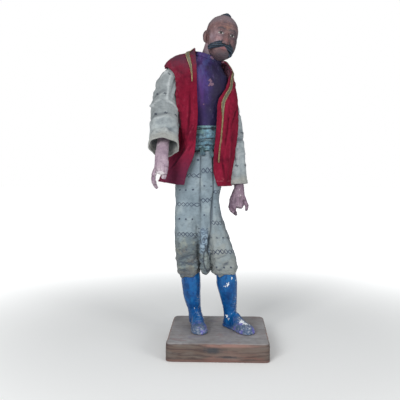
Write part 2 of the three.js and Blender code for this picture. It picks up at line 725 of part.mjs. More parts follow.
function add(parent, name, geometry, color, roughness, metalness = 0) {
  const mesh = new THREE.Mesh(
    geometry,
    new THREE.MeshStandardMaterial({ color, roughness, metalness }),
  );
  mesh.name = name;
  parent.add(mesh);
}
add(object, "plinth", plinth(), 0x7a6257, 0.6);
add(figure, "boot_right", geometryOfSolid(rightBoot()), 0x22588d, 0.3);
add(figure, "boot_left", geometryOfSolid(leftBoot()), 0x22588d, 0.3);
add(figure, "trousers", geometryOfSolid(trousers()), 0x8a98a0, 0.9);
add(figure, "torso", geometryOfSolid(torso().subtract(neckRoom())), 0x463b66, 0.6);
add(figure, "sash", geometryOfSolid(sash()), 0x53656e, 0.6);
add(figure, "sleeve_right", geometryOfSolid(rightSleeve()), 0x949b9b, 0.9);
add(figure, "sleeve_left", geometryOfSolid(leftSleeve()), 0xa1abb3, 0.9);
add(figure, "vest", geometryOfSolid(vest()), 0x771e32, 0.8);
add(figure, "vest_braid", braid(), 0x6f6a50, 0.7);
add(figure, "hand_right", geometryOfSolid(rightHand()), 0xa998a6, 0.6);
add(figure, "hand_left", geometryOfSolid(leftHand()), 0x7b6978, 0.6);
add(figure, "head", geometryOfSolid(head()), 0x8c6b6c, 0.5);
export default object;
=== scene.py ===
import math

import bpy
import numpy as np
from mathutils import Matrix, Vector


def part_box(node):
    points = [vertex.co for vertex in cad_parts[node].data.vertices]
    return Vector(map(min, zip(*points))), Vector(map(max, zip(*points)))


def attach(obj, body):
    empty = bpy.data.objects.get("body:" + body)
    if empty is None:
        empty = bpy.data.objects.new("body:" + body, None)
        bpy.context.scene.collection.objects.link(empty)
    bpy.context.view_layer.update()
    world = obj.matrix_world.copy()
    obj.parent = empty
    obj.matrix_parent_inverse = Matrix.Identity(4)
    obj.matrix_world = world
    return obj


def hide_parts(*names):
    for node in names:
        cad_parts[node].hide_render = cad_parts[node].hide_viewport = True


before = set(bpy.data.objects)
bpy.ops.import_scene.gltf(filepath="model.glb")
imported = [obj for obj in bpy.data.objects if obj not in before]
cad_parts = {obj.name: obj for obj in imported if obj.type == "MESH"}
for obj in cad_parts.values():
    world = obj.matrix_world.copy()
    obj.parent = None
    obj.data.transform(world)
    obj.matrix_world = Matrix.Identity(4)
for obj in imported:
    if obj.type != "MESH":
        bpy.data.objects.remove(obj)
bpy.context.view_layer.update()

# The studio: a pale floor that runs back into a white surround, one large soft light from the
# viewer's left, a weaker one from the right, and a camera at the height of the figure's waist that
# looks down a little, so that the top of the block shows.
camera = bpy.data.objects.new("camera", bpy.data.cameras.new("camera"))
camera.data.lens = 51.23
camera.data.shift_y = -0.03
camera.location = (0.00598, -0.66364, 0.2171)
camera.rotation_euler = (math.pi / 2 - 0.046, 0, 0.0412)
bpy.context.scene.collection.objects.link(camera)
bpy.context.scene.camera = camera


class Value:
    """An output of a shader node. A sign between it and another value or a number adds a Math node."""

    def __init__(self, socket):
        self.socket, self.tree = socket, socket.id_data

    def __add__(self, other):
        return calc("ADD", self, other)

    def __sub__(self, other):
        return calc("SUBTRACT", self, other)

    def __mul__(self, other):
        return calc("MULTIPLY", self, other)

    def __truediv__(self, other):
        return calc("DIVIDE", self, other)

    def __pow__(self, other):
        return calc("POWER", self, other)

    def __abs__(self):
        return calc("ABSOLUTE", self)


def give(value, socket):
    """Joins a value to a socket, or sets a constant on it. A colour is given as three numbers."""
    if isinstance(value, Value):
        value.tree.links.new(value.socket, socket)
    else:
        socket.default_value = (*value, 1) if socket.type == "RGBA" else value


def wired(node, inputs):
    """Gives a node its inputs, and returns its outputs by number and by name."""
    for name, value in dict(inputs).items():
        give(value, node.inputs[name])
    outputs = [Value(socket) for socket in node.outputs]
    return dict(enumerate(outputs)) | {value.socket.name: value for value in outputs}


def add_node(tree, kind, inputs=(), **settings):
    """Adds a node to a tree, with its settings and inputs, and returns its outputs."""
    node = tree.nodes.new("ShaderNode" + kind)
    for name, value in settings.items():
        setattr(node, name, value)
    return wired(node, inputs)


def calc(operation, first, *others):
    """The Math node of an operation."""
    return add_node(first.tree, "Math", enumerate((first, *others)), operation=operation)[0]


def fade(value, low, high, start=0.0, end=1.0):
    """Carries a value that goes from low to high over to start to end, smoothly and no further."""
    inputs = {0: value, 1: low, 2: high, 3: start, 4: end}
    return add_node(value.tree, "MapRange", inputs, interpolation_type="SMOOTHSTEP")[0]


def length_of(place):
    """How long a vector is."""
    return add_node(place.tree, "VectorMath", {0: place}, operation="LENGTH")["Value"]


def new_finish(name):
    """A new material, its node tree, its shader and the place on its piece."""
    material = bpy.data.materials.new(name)
    material.use_nodes = True
    tree = material.node_tree
    return material, tree, tree.nodes["Principled BSDF"], add_node(tree, "TexCoord")["Object"]


def soft_light(name, place, size, watts):
    """A square area light of a side, aimed at the figure's waist."""
    light = bpy.data.objects.new(name, bpy.data.lights.new(name, "AREA"))
    light.data.size, light.data.energy = size, watts
    light.location = place
    aim = np.array([0, 0, 0.2]) - place
    across, down = math.atan2(aim[1], aim[0]), math.asin(aim[2] / np.linalg.norm(aim))
    light.rotation_euler = (math.pi / 2 + down, 0, across - math.pi / 2)
    bpy.context.scene.collection.objects.link(light)


soft_light("window_left", (-0.6, -1.35, 0.7), 0.6, 17)
soft_light("window_right", (1.1, -1.2, 0.5), 0.6, 10.5)
soft_light("window_top", (0.1, -0.2, 1.6), 1.0, 3)

world = bpy.data.worlds.new("white_surround")
bpy.context.scene.world = world
world.use_nodes = True
sky = world.node_tree
lit = wired(sky.nodes["Background"], {"Color": (0.93, 0.97, 1), "Strength": 0.36})[0]
seen = add_node(sky, "Background", {"Color": (1, 1, 1), "Strength": 1})[0]
either = {0: add_node(sky, "LightPath")["Is Camera Ray"], 1: lit, 2: seen}
give(add_node(sky, "MixShader", either)[0], sky.nodes["World Output"].inputs["Surface"])
bpy.context.scene.view_settings.view_transform = "Standard"

floor = bpy.data.objects.new("floor", bpy.data.meshes.new("floor"))
floor.data.from_pydata([(-4, -4, 0), (4, -4, 0), (4, 4, 0), (-4, 4, 0)], [], [(0, 1, 2, 3)])
bpy.context.scene.collection.objects.link(floor)
pale, tree, shader, place = new_finish("pale_floor")
seen_share = fade(length_of(place), 0.16, 0.75) * add_node(tree, "LightPath")["Is Camera Ray"]
wired(shader, {"Base Color": (0.9, 0.9, 0.89), "Roughness": 0.8, "Emission Strength": seen_share,
               "Emission Color": (0.9, 0.9, 0.9)})
floor.data.materials.append(pale)

# The block: a sawn piece of softwood. Its top is worn grey and its upper edges are rubbed round, while
# the front still shows the reddish grain with a dark knot. The legs are pegged into it.
block_low, block_high = (np.array(corner) * 1000 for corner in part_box("plinth"))


def waves(points, size, seed, count=18):
    """Smooth chance unevenness of about -1 to 1: the sum of cosines of the distance along chance
    directions, with lengths about the given size."""
    chance = np.random.default_rng(seed)
    ways = chance.normal(size=(count, 3))
    ways *= (math.tau / size * chance.uniform(0.6, 1.6, count) / np.linalg.norm(ways, axis=1))[:, None]
    return np.cos(points @ ways.T + chance.uniform(0, math.tau, count)).sum(-1) / math.sqrt(count)


def bell(x, centre, width):
    """A bump of height 1: e to the minus square of the distance from its centre over its width."""
    return np.exp(-(((x - centre) / width) ** 2))


def ease(low, high, x):
    """0 below low, 1 above high, and a smooth S between, 3 t squared minus 2 t cubed."""
    t = np.clip((x - low) / (high - low), 0, 1)
    return t * t * (3 - 2 * t)


def new_piece(name, points, faces, sheet_map=None):
    """A smooth-shaded piece of points in millimetres and faces of four or three corners. The sheet
    map has one pair of millimetres for each corner of each face."""
    mesh = bpy.data.meshes.new(name)
    mesh.from_pydata((points / 1000).tolist(), [], faces)
    mesh.polygons.foreach_set("use_smooth", np.ones(len(faces), bool))
    if sheet_map is not None:
        mesh.uv_layers.new(name="cloth").data.foreach_set("uv", (sheet_map / 1000).ravel())
    piece = bpy.data.objects.new(name, mesh)
    bpy.context.scene.collection.objects.link(piece)
    return piece


def grid_faces(rows, columns, around=False):
    """The faces of a grid of points that is numbered along its rows, each as four point numbers. A
    grid that goes around has its last column joined to its first."""
    last = columns if around else columns - 1
    i, k = np.meshgrid(np.arange(rows - 1), np.arange(last), indexing="ij")
    near, far = i * columns + k, i * columns + (k + 1) % columns
    return np.stack([near, far, far + columns, near + columns], -1).reshape(-1, 4)


def closed_stack(rings):
    """Points and faces of a stack of rings, with a fan of triangles about the middle of each end."""
    rows, sides = rings.shape[:2]
    points = np.concatenate([rings.reshape(-1, 3), [rings[0].mean(0), rings[-1].mean(0)]])
    side = np.arange(sides)
    after, last = (side + 1) % sides, (rows - 1) * sides
    low = np.stack([after, side, np.full(sides, rows * sides)], -1)
    high = np.stack([last + side, last + after, np.full(sides, rows * sides + 1)], -1)
    return points, [*grid_faces(rows, sides, True).tolist(), *low.tolist(), *high.tolist()]


def blend(share, low, high):
    """A mix of two colours by a share."""
    return add_node(share.tree, "Mix", {0: share, 6: low, 7: high}, data_type="RGBA")[2]


def coats(colour, layers):
    """Colours laid over a first one in turn, each as far as its share says."""
    for share, over in layers:
        colour = blend(share, colour, over)
    return colour


def noise(place, scale, detail=4.0, rough=0.55, distort=0.0):
    """Cloudy chance values about 0.5."""
    inputs = {"Vector": place, "Scale": scale, "Detail": detail, "Roughness": rough, "Distortion": distort}
    return add_node(place.tree, "TexNoise", inputs)[0]


def stretched(place, scale, turn=(0, 0, 0)):
    """The place, turned and then stretched along its axes."""
    return add_node(place.tree, "Mapping", {"Vector": place, "Scale": scale, "Rotation": turn})[0]


def vector(operation, first, second):
    """The vector that an operation makes of two."""
    return add_node(first.tree, "VectorMath", {0: first, 1: second}, operation=operation)[0]


def parts_of(place):
    """The X, Y and Z of a vector."""
    return add_node(place.tree, "SeparateXYZ", {0: place})


def attribute(tree, name):
    """What mark keeps for the points of a piece."""
    return add_node(tree, "Attribute", attribute_name=name)["Fac"]


def shader_group(name, inputs, outputs):
    """An empty node group, with its inputs as values and its outputs to be given."""
    made = bpy.data.node_groups.new(name, "ShaderNodeTree")
    for label, kind, value in inputs:
        socket = made.interface.new_socket(label, in_out="INPUT", socket_type="NodeSocket" + kind)
        if value is not None:
            socket.default_value = value
    for label, kind in outputs:
        made.interface.new_socket(label, in_out="OUTPUT", socket_type="NodeSocket" + kind)
    return made, wired(made.nodes.new("NodeGroupInput"), ()), made.nodes.new("NodeGroupOutput").inputs


def use_group(made, inputs):
    """Places a node group with its own values, beside the node that gives its vector."""
    placed = inputs["Vector"].tree.nodes.new("ShaderNodeGroup")
    placed.node_tree = made
    return wired(placed, inputs)


def surface(shader, colour, rough, height, depth, strength, others=()):
    """Colour, roughness and height of a shader, where the depth of the bump is in metres, and others."""
    inputs = {"Height": height, "Distance": depth, "Strength": strength}
    bump = add_node(colour.tree, "Bump", inputs)[0]
    wired(shader, {"Base Color": colour, "Roughness": rough, "Normal": bump, **dict(others)})


def place_piece(piece, material, slot, *nodes):
    """The finish, the body and the CAD nodes of a finished piece."""
    piece.data.materials.append(material)
    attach(piece, "root")
    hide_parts(*nodes)


# Clouded colour: a colour that is darker and lighter in soft patches of two sizes, as hand-laid paint,
# dyed cloth and old wood all are.
CLOUD, into, out = shader_group("clouded_colour", [
    ("Vector", "Vector", None), ("Scale", "Float", 60.0), ("Colour", "Color", None),
    ("Shade", "Color", None), ("Light", "Color", None), ("Amount", "Float", 1.0),
], [("Colour", "Color"), ("Height", "Float")])
broad = noise(into["Vector"], into["Scale"], 3)
fine = noise(into["Vector"], into["Scale"] * 5.3, 3)
dark = fade(broad, 0.52, 0.3) * into["Amount"]
pale_patch = fade(broad, 0.5, 0.74) * into["Amount"]
toned = coats(into["Colour"], [(dark, into["Shade"]), (pale_patch, into["Light"])])
speck = fade(fine, 0.55, 0.34) * into["Amount"] * 0.5
give(blend(speck, toned, into["Shade"]), out["Colour"])
give(broad * 0.6 + fine * 0.4, out["Height"])


def clouded(place, scale, colour, shade, light, amount):
    """The clouded colour and height at a place."""
    return use_group(CLOUD, {"Vector": place, "Scale": scale, "Colour": colour, "Shade": shade,
                             "Light": light, "Amount": amount})


BLOCK_SIDES = 360
block_turn = np.arange(BLOCK_SIDES) / BLOCK_SIDES * math.tau


def block_ring(inset, height):
    """A rectangle with round corners at a height: the distance from the middle is the minus 26th root
    of the sum of the 26th powers of the direction over the two half sides."""
    half = (block_high - block_low)[:2] / 2 - inset
    way = np.stack([np.cos(block_turn), np.sin(block_turn)], -1)
    reach = (np.abs(way / half) ** 26).sum(-1) ** (-1 / 26)
    flat = way * reach[:, None] + (block_high + block_low)[:2] / 2
    return np.column_stack([flat, np.full(BLOCK_SIDES, height)])


EDGE_ROUND = 3.2
edge_turn = np.linspace(0, math.pi / 2, 9)
up_side, over_top = np.linspace(2, block_high[2] - EDGE_ROUND, 12), np.linspace(4.5, 54, 34)
# Rows of [how far in from the side, height], from the underside up and over to the middle of the top.
block_profile = np.concatenate([
    np.column_stack([np.linspace(45, 1.4, 12), np.zeros(12)]), [[0.4, 0.5], [0, 1.2]],
    np.column_stack([np.zeros(12), up_side]),
    np.column_stack([EDGE_ROUND * (1 - np.cos(edge_turn)),
                     block_high[2] - EDGE_ROUND * (1 - np.sin(edge_turn))])[1:],
    np.column_stack([over_top, np.full(34, block_high[2])]),
])
rings = np.array([block_ring(inset, height) for inset, height in block_profile])
inward = np.clip(block_profile[:, 0], 0, 6)[:, None, None] / 6
dent = 0.32 * waves(rings, 26, 3)[..., None] + 0.16 * waves(rings, 7, 4)[..., None]
middle = np.array([*(block_high + block_low)[:2] / 2, 10])
from_middle = rings - middle
from_middle[..., 2] = 0
upright = ease(0.4, 1.5, rings[..., 2:3])
away = from_middle / np.linalg.norm(from_middle, axis=-1, keepdims=True)
rings -= away * (np.abs(dent) * (1 - inward) * upright)
rings[..., 2:3] -= 0.22 * np.abs(dent) * inward * ease(15, 19, rings[..., 2:3])
points, faces = closed_stack(rings)
block = new_piece("block", points, faces)


def flaw(place, x, z, scale, turn, fine, ragged):
    """How far the place is from a flaw in the front of the block, ragged, with its own stretch."""
    offset = vector("SUBTRACT", place, (x, block_low[1] / 1000, z))
    return length_of(stretched(offset, scale, turn)) + noise(place, fine) * ragged


wood, tree, shader, place = new_finish("worn_softwood")
warp = noise(stretched(place, (12, 30, 30)), 1.0, 3)
rings_of_growth = add_node(tree, "TexWave", {
    "Vector": stretched(place, (2.6, 9, 20), (0.2, 0.05, 0)), "Scale": 3.1, "Distortion": 14.0,
    "Detail": 4.0, "Detail Scale": 1.1, "Detail Roughness": 0.68}, bands_direction="Z")["Fac"]
fibre = noise(stretched(place, (40, 420, 900)), 1.0, 5, 0.65)
side_share = fade(parts_of(add_node(tree, "NewGeometry")["Normal"])["Z"], 0.93, 0.55)
height_above = parts_of(place)["Z"]
ruddy = noise(stretched(place, (26, 60, 130)), 1.0, 4, 0.6)
knot = flaw(place, -0.004, 0.0135, (50, 50, 150), (0, 0, 0), 160, 0.9)
crack = flaw(place, 0.011, 0.006, (50, 50, 420), (0, 0.5, 0), 300, 0.8)
grain_colour = coats((0.094, 0.064, 0.05), [
    (fade(rings_of_growth, 0.25, 0.9), (0.046, 0.028, 0.024)),
    (fade(ruddy, 0.5, 0.66, 0, 0.7), (0.15, 0.06, 0.045)),
    (fade(ruddy, 0.46, 0.34, 0, 0.5), (0.115, 0.105, 0.092)),
    (fade(fibre, 0.42, 0.7, 0, 0.55), (0.08, 0.05, 0.043)),
    (fade(warp, 0.46, 0.7, 0, 0.6), (0.155, 0.112, 0.095)),
    (fade(knot, 1.25, 0.6, 0, 0.95), (0.026, 0.028, 0.034)),
    (fade(crack, 1.3, 0.5, 0, 0.9), (0.03, 0.028, 0.032)),
])
rubbed = fade(height_above, 0.0155, 0.0185) * fade(height_above, 0.0206, 0.0195)
red_stain = rubbed * fade(noise(stretched(place, (30, 60, 60)), 1.0), 0.4, 0.6)
top_colour = clouded(place, 34.0, (0.285, 0.27, 0.27), (0.195, 0.178, 0.178), (0.36, 0.355, 0.365), 0.9)
top_grain = coats(top_colour["Colour"], [
    (fade(fibre, 0.45, 0.7, 0, 0.35), (0.14, 0.12, 0.115)),
    (fade(noise(place, 75, 5), 0.56, 0.68, 0, 0.5), (0.25, 0.17, 0.165)),
    (fade(noise(place, 52, 4), 0.58, 0.7, 0, 0.4), (0.2, 0.18, 0.26)),
])
colour = coats(top_grain, [
    (side_share, grain_colour),
    (red_stain * 0.75, (0.26, 0.14, 0.115)),
    (fade(height_above, 0.0045, 0.0005) * 0.5, (0.17, 0.075, 0.065)),
])
relief = fibre * 0.5 + rings_of_growth * 0.35 - fade(crack, 1.1, 0.5, 0, 0.8)
surface(shader, colour, fade(fibre, 0.3, 0.7, 0.5, 0.72), relief, 0.0005, 0.8)
place_piece(block, wood, "plinth_wood", "plinth")

# The booted legs: each is carved with its calf and foot in one, primed, and painted a glossy blue with
# upright laces carved on the instep and a sole line cut above the ground. The paint is chipped to the
# white ground and rubbed off the toes.
FIGURE_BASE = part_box("boot_right")[0].z * 1000
FOOT_SLICES, FOOT_SIDES, LACE_WAVE = 61, 56, 9.2
# Slices of a foot, as [share of the way from heel to toe, half width, height].
FOOT_FORM = [
    [0, 3.6, 7], [0.06, 6.4, 13], [0.25, 7.5, 20], [0.45, 7.6, 19],
    [0.62, 8.6, 13], [0.8, 9.2, 9.6], [0.93, 7.4, 7.6], [1, 3, 4],
]
# Sections from the knee to the ankle, as [x, y, height, half width, half depth].
CALF_RIGHT = [
    [-33.2, 5, 74, 10.4, 11], [-32, 5, 54, 11.2, 11.8], [-31, 6.5, 37, 9.8, 10.6],
    [-29, 9, 24, 8, 9], [-27.6, 10.5, 14, 7.7, 9.2], [-27, 11, 5, 7.4, 9.4],
]
CALF_LEFT = [
    [8.6, 4, 74, 11, 11.6], [10.2, 4.5, 54, 12, 12.4], [12.3, 6, 37, 10.1, 10.8],
    [13.7, 7.5, 24, 8, 9.2], [14, 8.5, 14, 7.6, 9], [13.6, 9, 5, 7.4, 8.6],
]


def along(table, t):
    """A smooth curve through the rows of a table, the first at t = 0 and the last at t = 1: between two
    rows a cubic that leaves and arrives with half the difference of the rows on either side."""
    table = np.asarray(table, float)
    spot = np.clip(t, 0, 1) * (len(table) - 1)
    i = np.minimum(spot.astype(int), len(table) - 2)
    f = (spot - i)[..., None]
    p, q, r, s = (table[np.clip(i + k, 0, len(table) - 1)] for k in (-1, 0, 1, 2))
    leave, arrive = (r - p) / 2, (s - q) / 2
    ends = (2 * f**3 - 3 * f**2 + 1) * q + (f**3 - 2 * f**2 + f) * leave
    return ends + (3 * f**2 - 2 * f**3) * r + (f**3 - f**2) * arrive


def unit(vectors):
    """Vectors of length 1 in the same directions."""
    return vectors / np.maximum(np.linalg.norm(vectors, axis=-1, keepdims=True), 1e-9)


def swept(table, steps, sides, side=(1, 0, 0), out=0.0):
    """Rings along the smooth path of a table of [x, y, z, half width, half depth]: at each step an
    ellipse, its width square to the path and along side, moved outward by out(angle, t)."""
    t = np.linspace(0, 1, steps + 1)
    rows = along(table, t)
    ahead = unit((along(table, np.minimum(t + 0.01, 1)) - along(table, np.maximum(t - 0.01, 0)))[:, :3])
    width = unit(side - ahead * (ahead @ np.array(side, float))[:, None])
    depth = np.cross(ahead, width)
    angle = np.arange(sides)[None] / sides * math.tau
    reach = out(angle, t[:, None]) if callable(out) else out
    far_a = ((rows[:, 3:4] + reach) * np.cos(angle))[..., None]
    far_b = ((rows[:, 4:5] + reach) * np.sin(angle))[..., None]
    return rows[:, None, :3] + width[:, None] * far_a + depth[:, None] * far_b + [0, 0, FIGURE_BASE]


def weld(name, stacks, cell):
    """One skin round closed bodies that overlap, rebuilt from cells of a size in millimetres."""
    points, faces, count = [], [], 0
    for rings in stacks:
        ring_points, ring_faces = closed_stack(rings)
        points.append(ring_points)
        faces += [[corner + count for corner in face] for face in ring_faces]
        count += len(ring_points)
    rough_piece = new_piece(name + "_parts", np.concatenate(points), faces)
    cells = rough_piece.modifiers.new("skin", "REMESH")
    cells.mode, cells.voxel_size = "VOXEL", cell / 1000
    mesh = bpy.data.meshes.new_from_object(rough_piece.evaluated_get(bpy.context.evaluated_depsgraph_get()))
    bpy.data.objects.remove(rough_piece)
    mesh.name = name
    mesh.polygons.foreach_set("use_smooth", np.ones(len(mesh.polygons), bool))
    piece = bpy.data.objects.new(name, mesh)
    bpy.context.scene.collection.objects.link(piece)
    return piece


def places(piece):
    """Where a piece's points are, in millimetres."""
    flat = np.empty(len(piece.data.vertices) * 3, np.float32)
    piece.data.vertices.foreach_get("co", flat)
    return flat.reshape(-1, 3).astype(float) * 1000


def facings(piece):
    """The outward direction at each point of a piece."""
    flat = np.empty(len(piece.data.vertices) * 3, np.float32)
    piece.data.vertex_normals.foreach_get("vector", flat)
    return flat.reshape(-1, 3).astype(float)


def move_to(piece, points):
    """Puts a piece's points at places given in millimetres."""
    piece.data.vertices.foreach_set("co", (points / 1000).ravel())
    piece.data.update()


def even_out(piece, rounds, share=0.5):
    """Draws each point towards the mean of the points it is joined to, round after round."""
    edges = np.empty(len(piece.data.edges) * 2, np.int32)
    piece.data.edges.foreach_get("vertices", edges)
    ends = edges.reshape(-1, 2)
    points = places(piece)
    joined = np.bincount(ends.ravel(), minlength=len(points))[:, None]
    for _ in range(rounds):
        total = np.zeros_like(points)
        for k in range(3):
            total[:, k] = np.bincount(ends[:, 0], points[ends[:, 1], k], len(points))
            total[:, k] += np.bincount(ends[:, 1], points[ends[:, 0], k], len(points))
        points += share * (total / np.maximum(joined, 1) - points)
    move_to(piece, points)


def mark(piece, **marks):
    """Keeps one number for each point of a piece under each name, for its material to read."""
    for name, values in marks.items():
        kept = piece.data.attributes.new(name, "FLOAT", "POINT")
        kept.data.foreach_set("value", np.asarray(values, np.float32))


def ragged_spots(points, spots, seed):
    """1 within each spot of [x, y, z, radius] and 0 outside, with a ragged edge."""
    near = np.zeros(len(points))
    for spot in spots:
        far = np.linalg.norm(points - spot[:3], axis=1) / spot[3]
        near = np.maximum(near, 1 - ease(0.7, 1.1, far + 0.5 * waves(points * [1, 1, 0.6], 1.7, seed)))
    return near


def booted_leg(name, calf, heel, toe, laces, worn_from, chips, seed):
    """The calf is a swept stack of ellipses. Each slice of the foot, from heel to toe, is flat below,
    and above it is half a superellipse. Sole line, laces and creases are carved along the normals."""
    heel, toe = np.array([*heel, 0.0]), np.array([*toe, 0.0])
    ahead = unit(toe - heel)
    across = np.cross(ahead, [0, 0, 1])
    share, half, tall = along(FOOT_FORM, np.linspace(0, 1, FOOT_SLICES)).T[:, :, None]
    angle = np.arange(FOOT_SIDES)[None] / FOOT_SIDES * math.tau
    under = np.sin(angle) < 0
    sideways = half * np.where(under, 0.97, 1) * np.cos(angle)
    up = np.where(under, 0, 1.2 + (tall - 1.2) * np.abs(np.sin(angle)) ** 0.8)
    foot = heel + (toe - heel) * share[..., None] + across * sideways[..., None]
    foot[..., 2] += up + FIGURE_BASE
    piece = weld(name, [swept(calf, 60, 48), foot], 0.62)
    even_out(piece, 5)
    points, facing = places(piece), facings(piece)
    local = points - [0, 0, FIGURE_BASE]
    z = local[:, 2]
    along_foot = (local - heel) @ ahead
    aside = (local - heel) @ across
    front = ease(0.1, 0.7, facing @ (ahead + [0, 0, 0.5]))
    wall = 1 - ease(0.5, 0.9, np.abs(facing[:, 2]))
    sole = -0.55 * bell(z, 3.4, 0.55) * wall * ease(2.3, 3, z + 0.4)
    welt = 0.35 * ease(2.9, 2.5, z) * wall
    ankle = bell(z, 24, 7)
    creases = 0.15 * np.cos(z * math.tau / 5.6 + 0.3 * aside + 2.2 * waves(local, 13, seed)) * ankle
    zigzag = bell(np.abs(aside - 1.1 * np.sin(z * math.tau / LACE_WAVE)), 0, 0.9)
    bars = np.minimum(np.cos(z * math.tau / (LACE_WAVE / 2)) ** 8 + 0.8 * zigzag, 1)
    lacing = laces * front * bell(aside, 0, 3.4) * ease(9, 13, z) * (1 - ease(37, 42, z)) * bars
    cut = 0.3 * waves(local * [1, 1, 0.7], 13, seed + 1) + 0.07 * waves(local * [1, 1, 0.8], 4, seed + 2)
    seam = -0.3 * bell(aside, 0, 0.7) * ease(40, 44, z) * front * (1 - ease(60, 66, z))
    on_ground = ease(0.15, 0.8, z)
    points += facing * ((sole + welt + creases * wall + lacing + cut + seam) * on_ground)[:, None]
    points[:, 2] = np.maximum(points[:, 2], FIGURE_BASE)
    move_to(piece, points)
    toe_share = along_foot / np.linalg.norm(toe - heel)
    toe_wear = ease(worn_from, worn_from + 0.55, toe_share) * (1 - ease(14, 24, z))
    mark(piece, toe_wear=np.clip(toe_wear + 0.5 * bell(z, 2, 1.6) * wall, 0, 1),
         chips=ragged_spots(local, chips, seed), laces=np.clip(lacing / max(laces, 0.01), 0, 1))
    return piece


boot_right = booted_leg("booted_leg_right", CALF_RIGHT, [-27, 23], [-19.8, -26.8], 0.3, 0.4,
    [[-27.5, -1.5, 23, 1.5], [-28, -4, 18.5, 1.1], [-29.5, -4, 41, 0.7], [-24, -14, 9, 1.2],
    [-20, -19, 5.5, 1.3]], 21)
boot_left = booted_leg("booted_leg_left", CALF_LEFT, [8.6, 16.5], [38.2, -24.5], 0.42, 0.22,
    [[11.6, -8, 54, 1.9], [8.6, -7.4, 51.5, 1.2], [9.6, -7.4, 42.5, 1.3], [17, -6.6, 61, 1.3],
    [19.4, -5, 51, 1.1], [21.6, -2, 58, 1.2], [28, -12, 12, 3.4], [31.6, -14.6, 10.4, 2.9],
    [24.4, -8.6, 16.6, 2.1], [22, -5, 21, 1.5], [18, -3.6, 26, 1.5], [34.6, -21, 5.4, 2.2],
    [29, -21.6, 4, 1.8], [23, -14.6, 3.6, 1.4], [10.6, 1.6, 15, 2.0], [11.6, -1, 11.4, 1.5],
    [36, -17, 7.4, 1.4]], 23)

# Chips: where a mask is high the paint is gone and the ground under it shows, with a dark rim.
CHIPPED, into, out = shader_group("chipped_paint", [
    ("Vector", "Vector", None), ("Mask", "Float", 0.0), ("Scale", "Float", 320.0), ("Amount", "Float", 0.3),
], [("Chip", "Float"), ("Rim", "Float")])
chance = noise(into["Vector"], into["Scale"], 4, 0.6)
level = into["Mask"] + (chance - 0.5) * into["Amount"]
gone = fade(level, 0.48, 0.56)
give(gone, out["Chip"])
give(fade(level, 0.34, 0.5) - gone, out["Rim"])


def chipped(place, scale, amount):
    """Chips where the piece is marked with them, and their rims."""
    mask = attribute(place.tree, "chips")
    return use_group(CHIPPED, {"Vector": place, "Mask": mask, "Scale": scale, "Amount": amount})


blue, tree, shader, place = new_finish("glossy_blue_paint")
strokes = noise(stretched(place, (210, 210, 90)), 1.0, 4, 0.6)
paint = clouded(place, 70.0, (0.004, 0.07, 0.235), (0.003, 0.035, 0.13), (0.01, 0.115, 0.31), 0.9)
toe = attribute(tree, "toe_wear")
rub = fade(toe + (noise(place, 210, 5) - 0.5) * 1.3, 0.35, 1.0)
violet = fade(noise(place, 130, 3), 0.52, 0.6)
lace = attribute(tree, "laces") * fade(noise(place, 260), 0.45, 0.62)
worn = chipped(place, 420.0, 0.9)
colour = coats(paint["Colour"], [
    (fade(strokes, 0.54, 0.7, 0, 0.5), (0.015, 0.14, 0.33)),
    (fade(strokes, 0.46, 0.34, 0, 0.6), (0.003, 0.025, 0.09)),
    (rub * 0.8, (0.095, 0.125, 0.175)),
    (violet * rub * 0.8, (0.13, 0.11, 0.42)),
    (fade(toe * noise(place, 420, 4), 0.5, 0.62, 0, 0.7), (0.3, 0.32, 0.38)),
    (lace * 0.45, (0.3, 0.34, 0.4)),
    (worn["Rim"] * 0.6, (0.1, 0.16, 0.24)),
    (worn["Chip"], (0.64, 0.67, 0.7)),
])
rough = rub * 0.3 + worn["Chip"] * 0.35 + 0.24
surface(shader, colour, rough, strokes * 0.6 - worn["Chip"] * 0.8, 0.00025, 0.7,
        {"Coat Weight": 0.12, "Coat Roughness": 0.1, "Specular IOR Level": 0.2})
place_piece(boot_right, blue, "boot_paint", "boot_right")
place_piece(boot_left, blue, "boot_paint", "boot_left")

# The trousers: printed cotton, cut as one wide garment, tied under the sash and gathered in under each
# knee. The spare width hangs between the legs as a third fold. The print has rows of diamonds and of
# dots by turns, with flowers and a petal on the spare cloth, and the cloth is soiled towards the knees.
TROUSER_TOP = 208.8
SEAT = [
    [-15, 3, TROUSER_TOP, 18.3, 14.8], [-15.2, 3, TROUSER_TOP - 5.4, 20.6, 17], [-19, 3, 190, 24.8, 19.8],
    [-23, 3, 170, 26.4, 20.5], [-24, 3, 145, 24, 19], [-21, 3, 122, 15, 12.5], [-18.5, 2, 111, 6, 7],
]
LEG_RIGHT = [[-30, 2, 198, 10, 14], [-36, 1, 172, 13.8, 18], [-36.6, 1, 150, 14.2, 18.5],
    [-36.8, 1, 124, 14.4, 18.5], [-36.4, 2, 98, 14.8, 18], [-35.2, 3.5, 76, 14.4, 16.5],
    [-34.2, 4.5, 65.5, 12.4, 13.6], [-33.6, 5, 62, 9, 9.6]]
LEG_LEFT = [
    [-13, 3, 190, 12, 17], [-10.8, 2, 158, 11.6, 18], [-7.4, 1, 130, 12.4, 18], [1, 1.5, 102, 14, 18],
    [6, 3, 80, 15.6, 17.2], [8, 4, 68, 14.4, 14.8], [8.8, 4.5, 62.5, 9.8, 10.2],
]
SPARE_CLOTH = [[-18, -2, 168, 8, 13], [-17, -4, 132, 7, 14.4], [-16.2, -4.4, 100, 6.4, 12.6],
    [-15.2, -4.6, 79, 6.2, 9.8], [-14.6, -4.6, 68.5, 5.2, 7.6], [-14.6, -4.4, 65, 2.4, 3.4]]
# Each lobe of the cloth, with the height of a row of diamonds on it, its radius and how soiled it is.
LOBES = [(LEG_RIGHT, 147.0, 15.0, 1.0), (SPARE_CLOTH, 152.0, 8.0, 0.8), (LEG_LEFT, 126.7, 15.0, 0.25)]
PRINT_REPEAT = 34.0
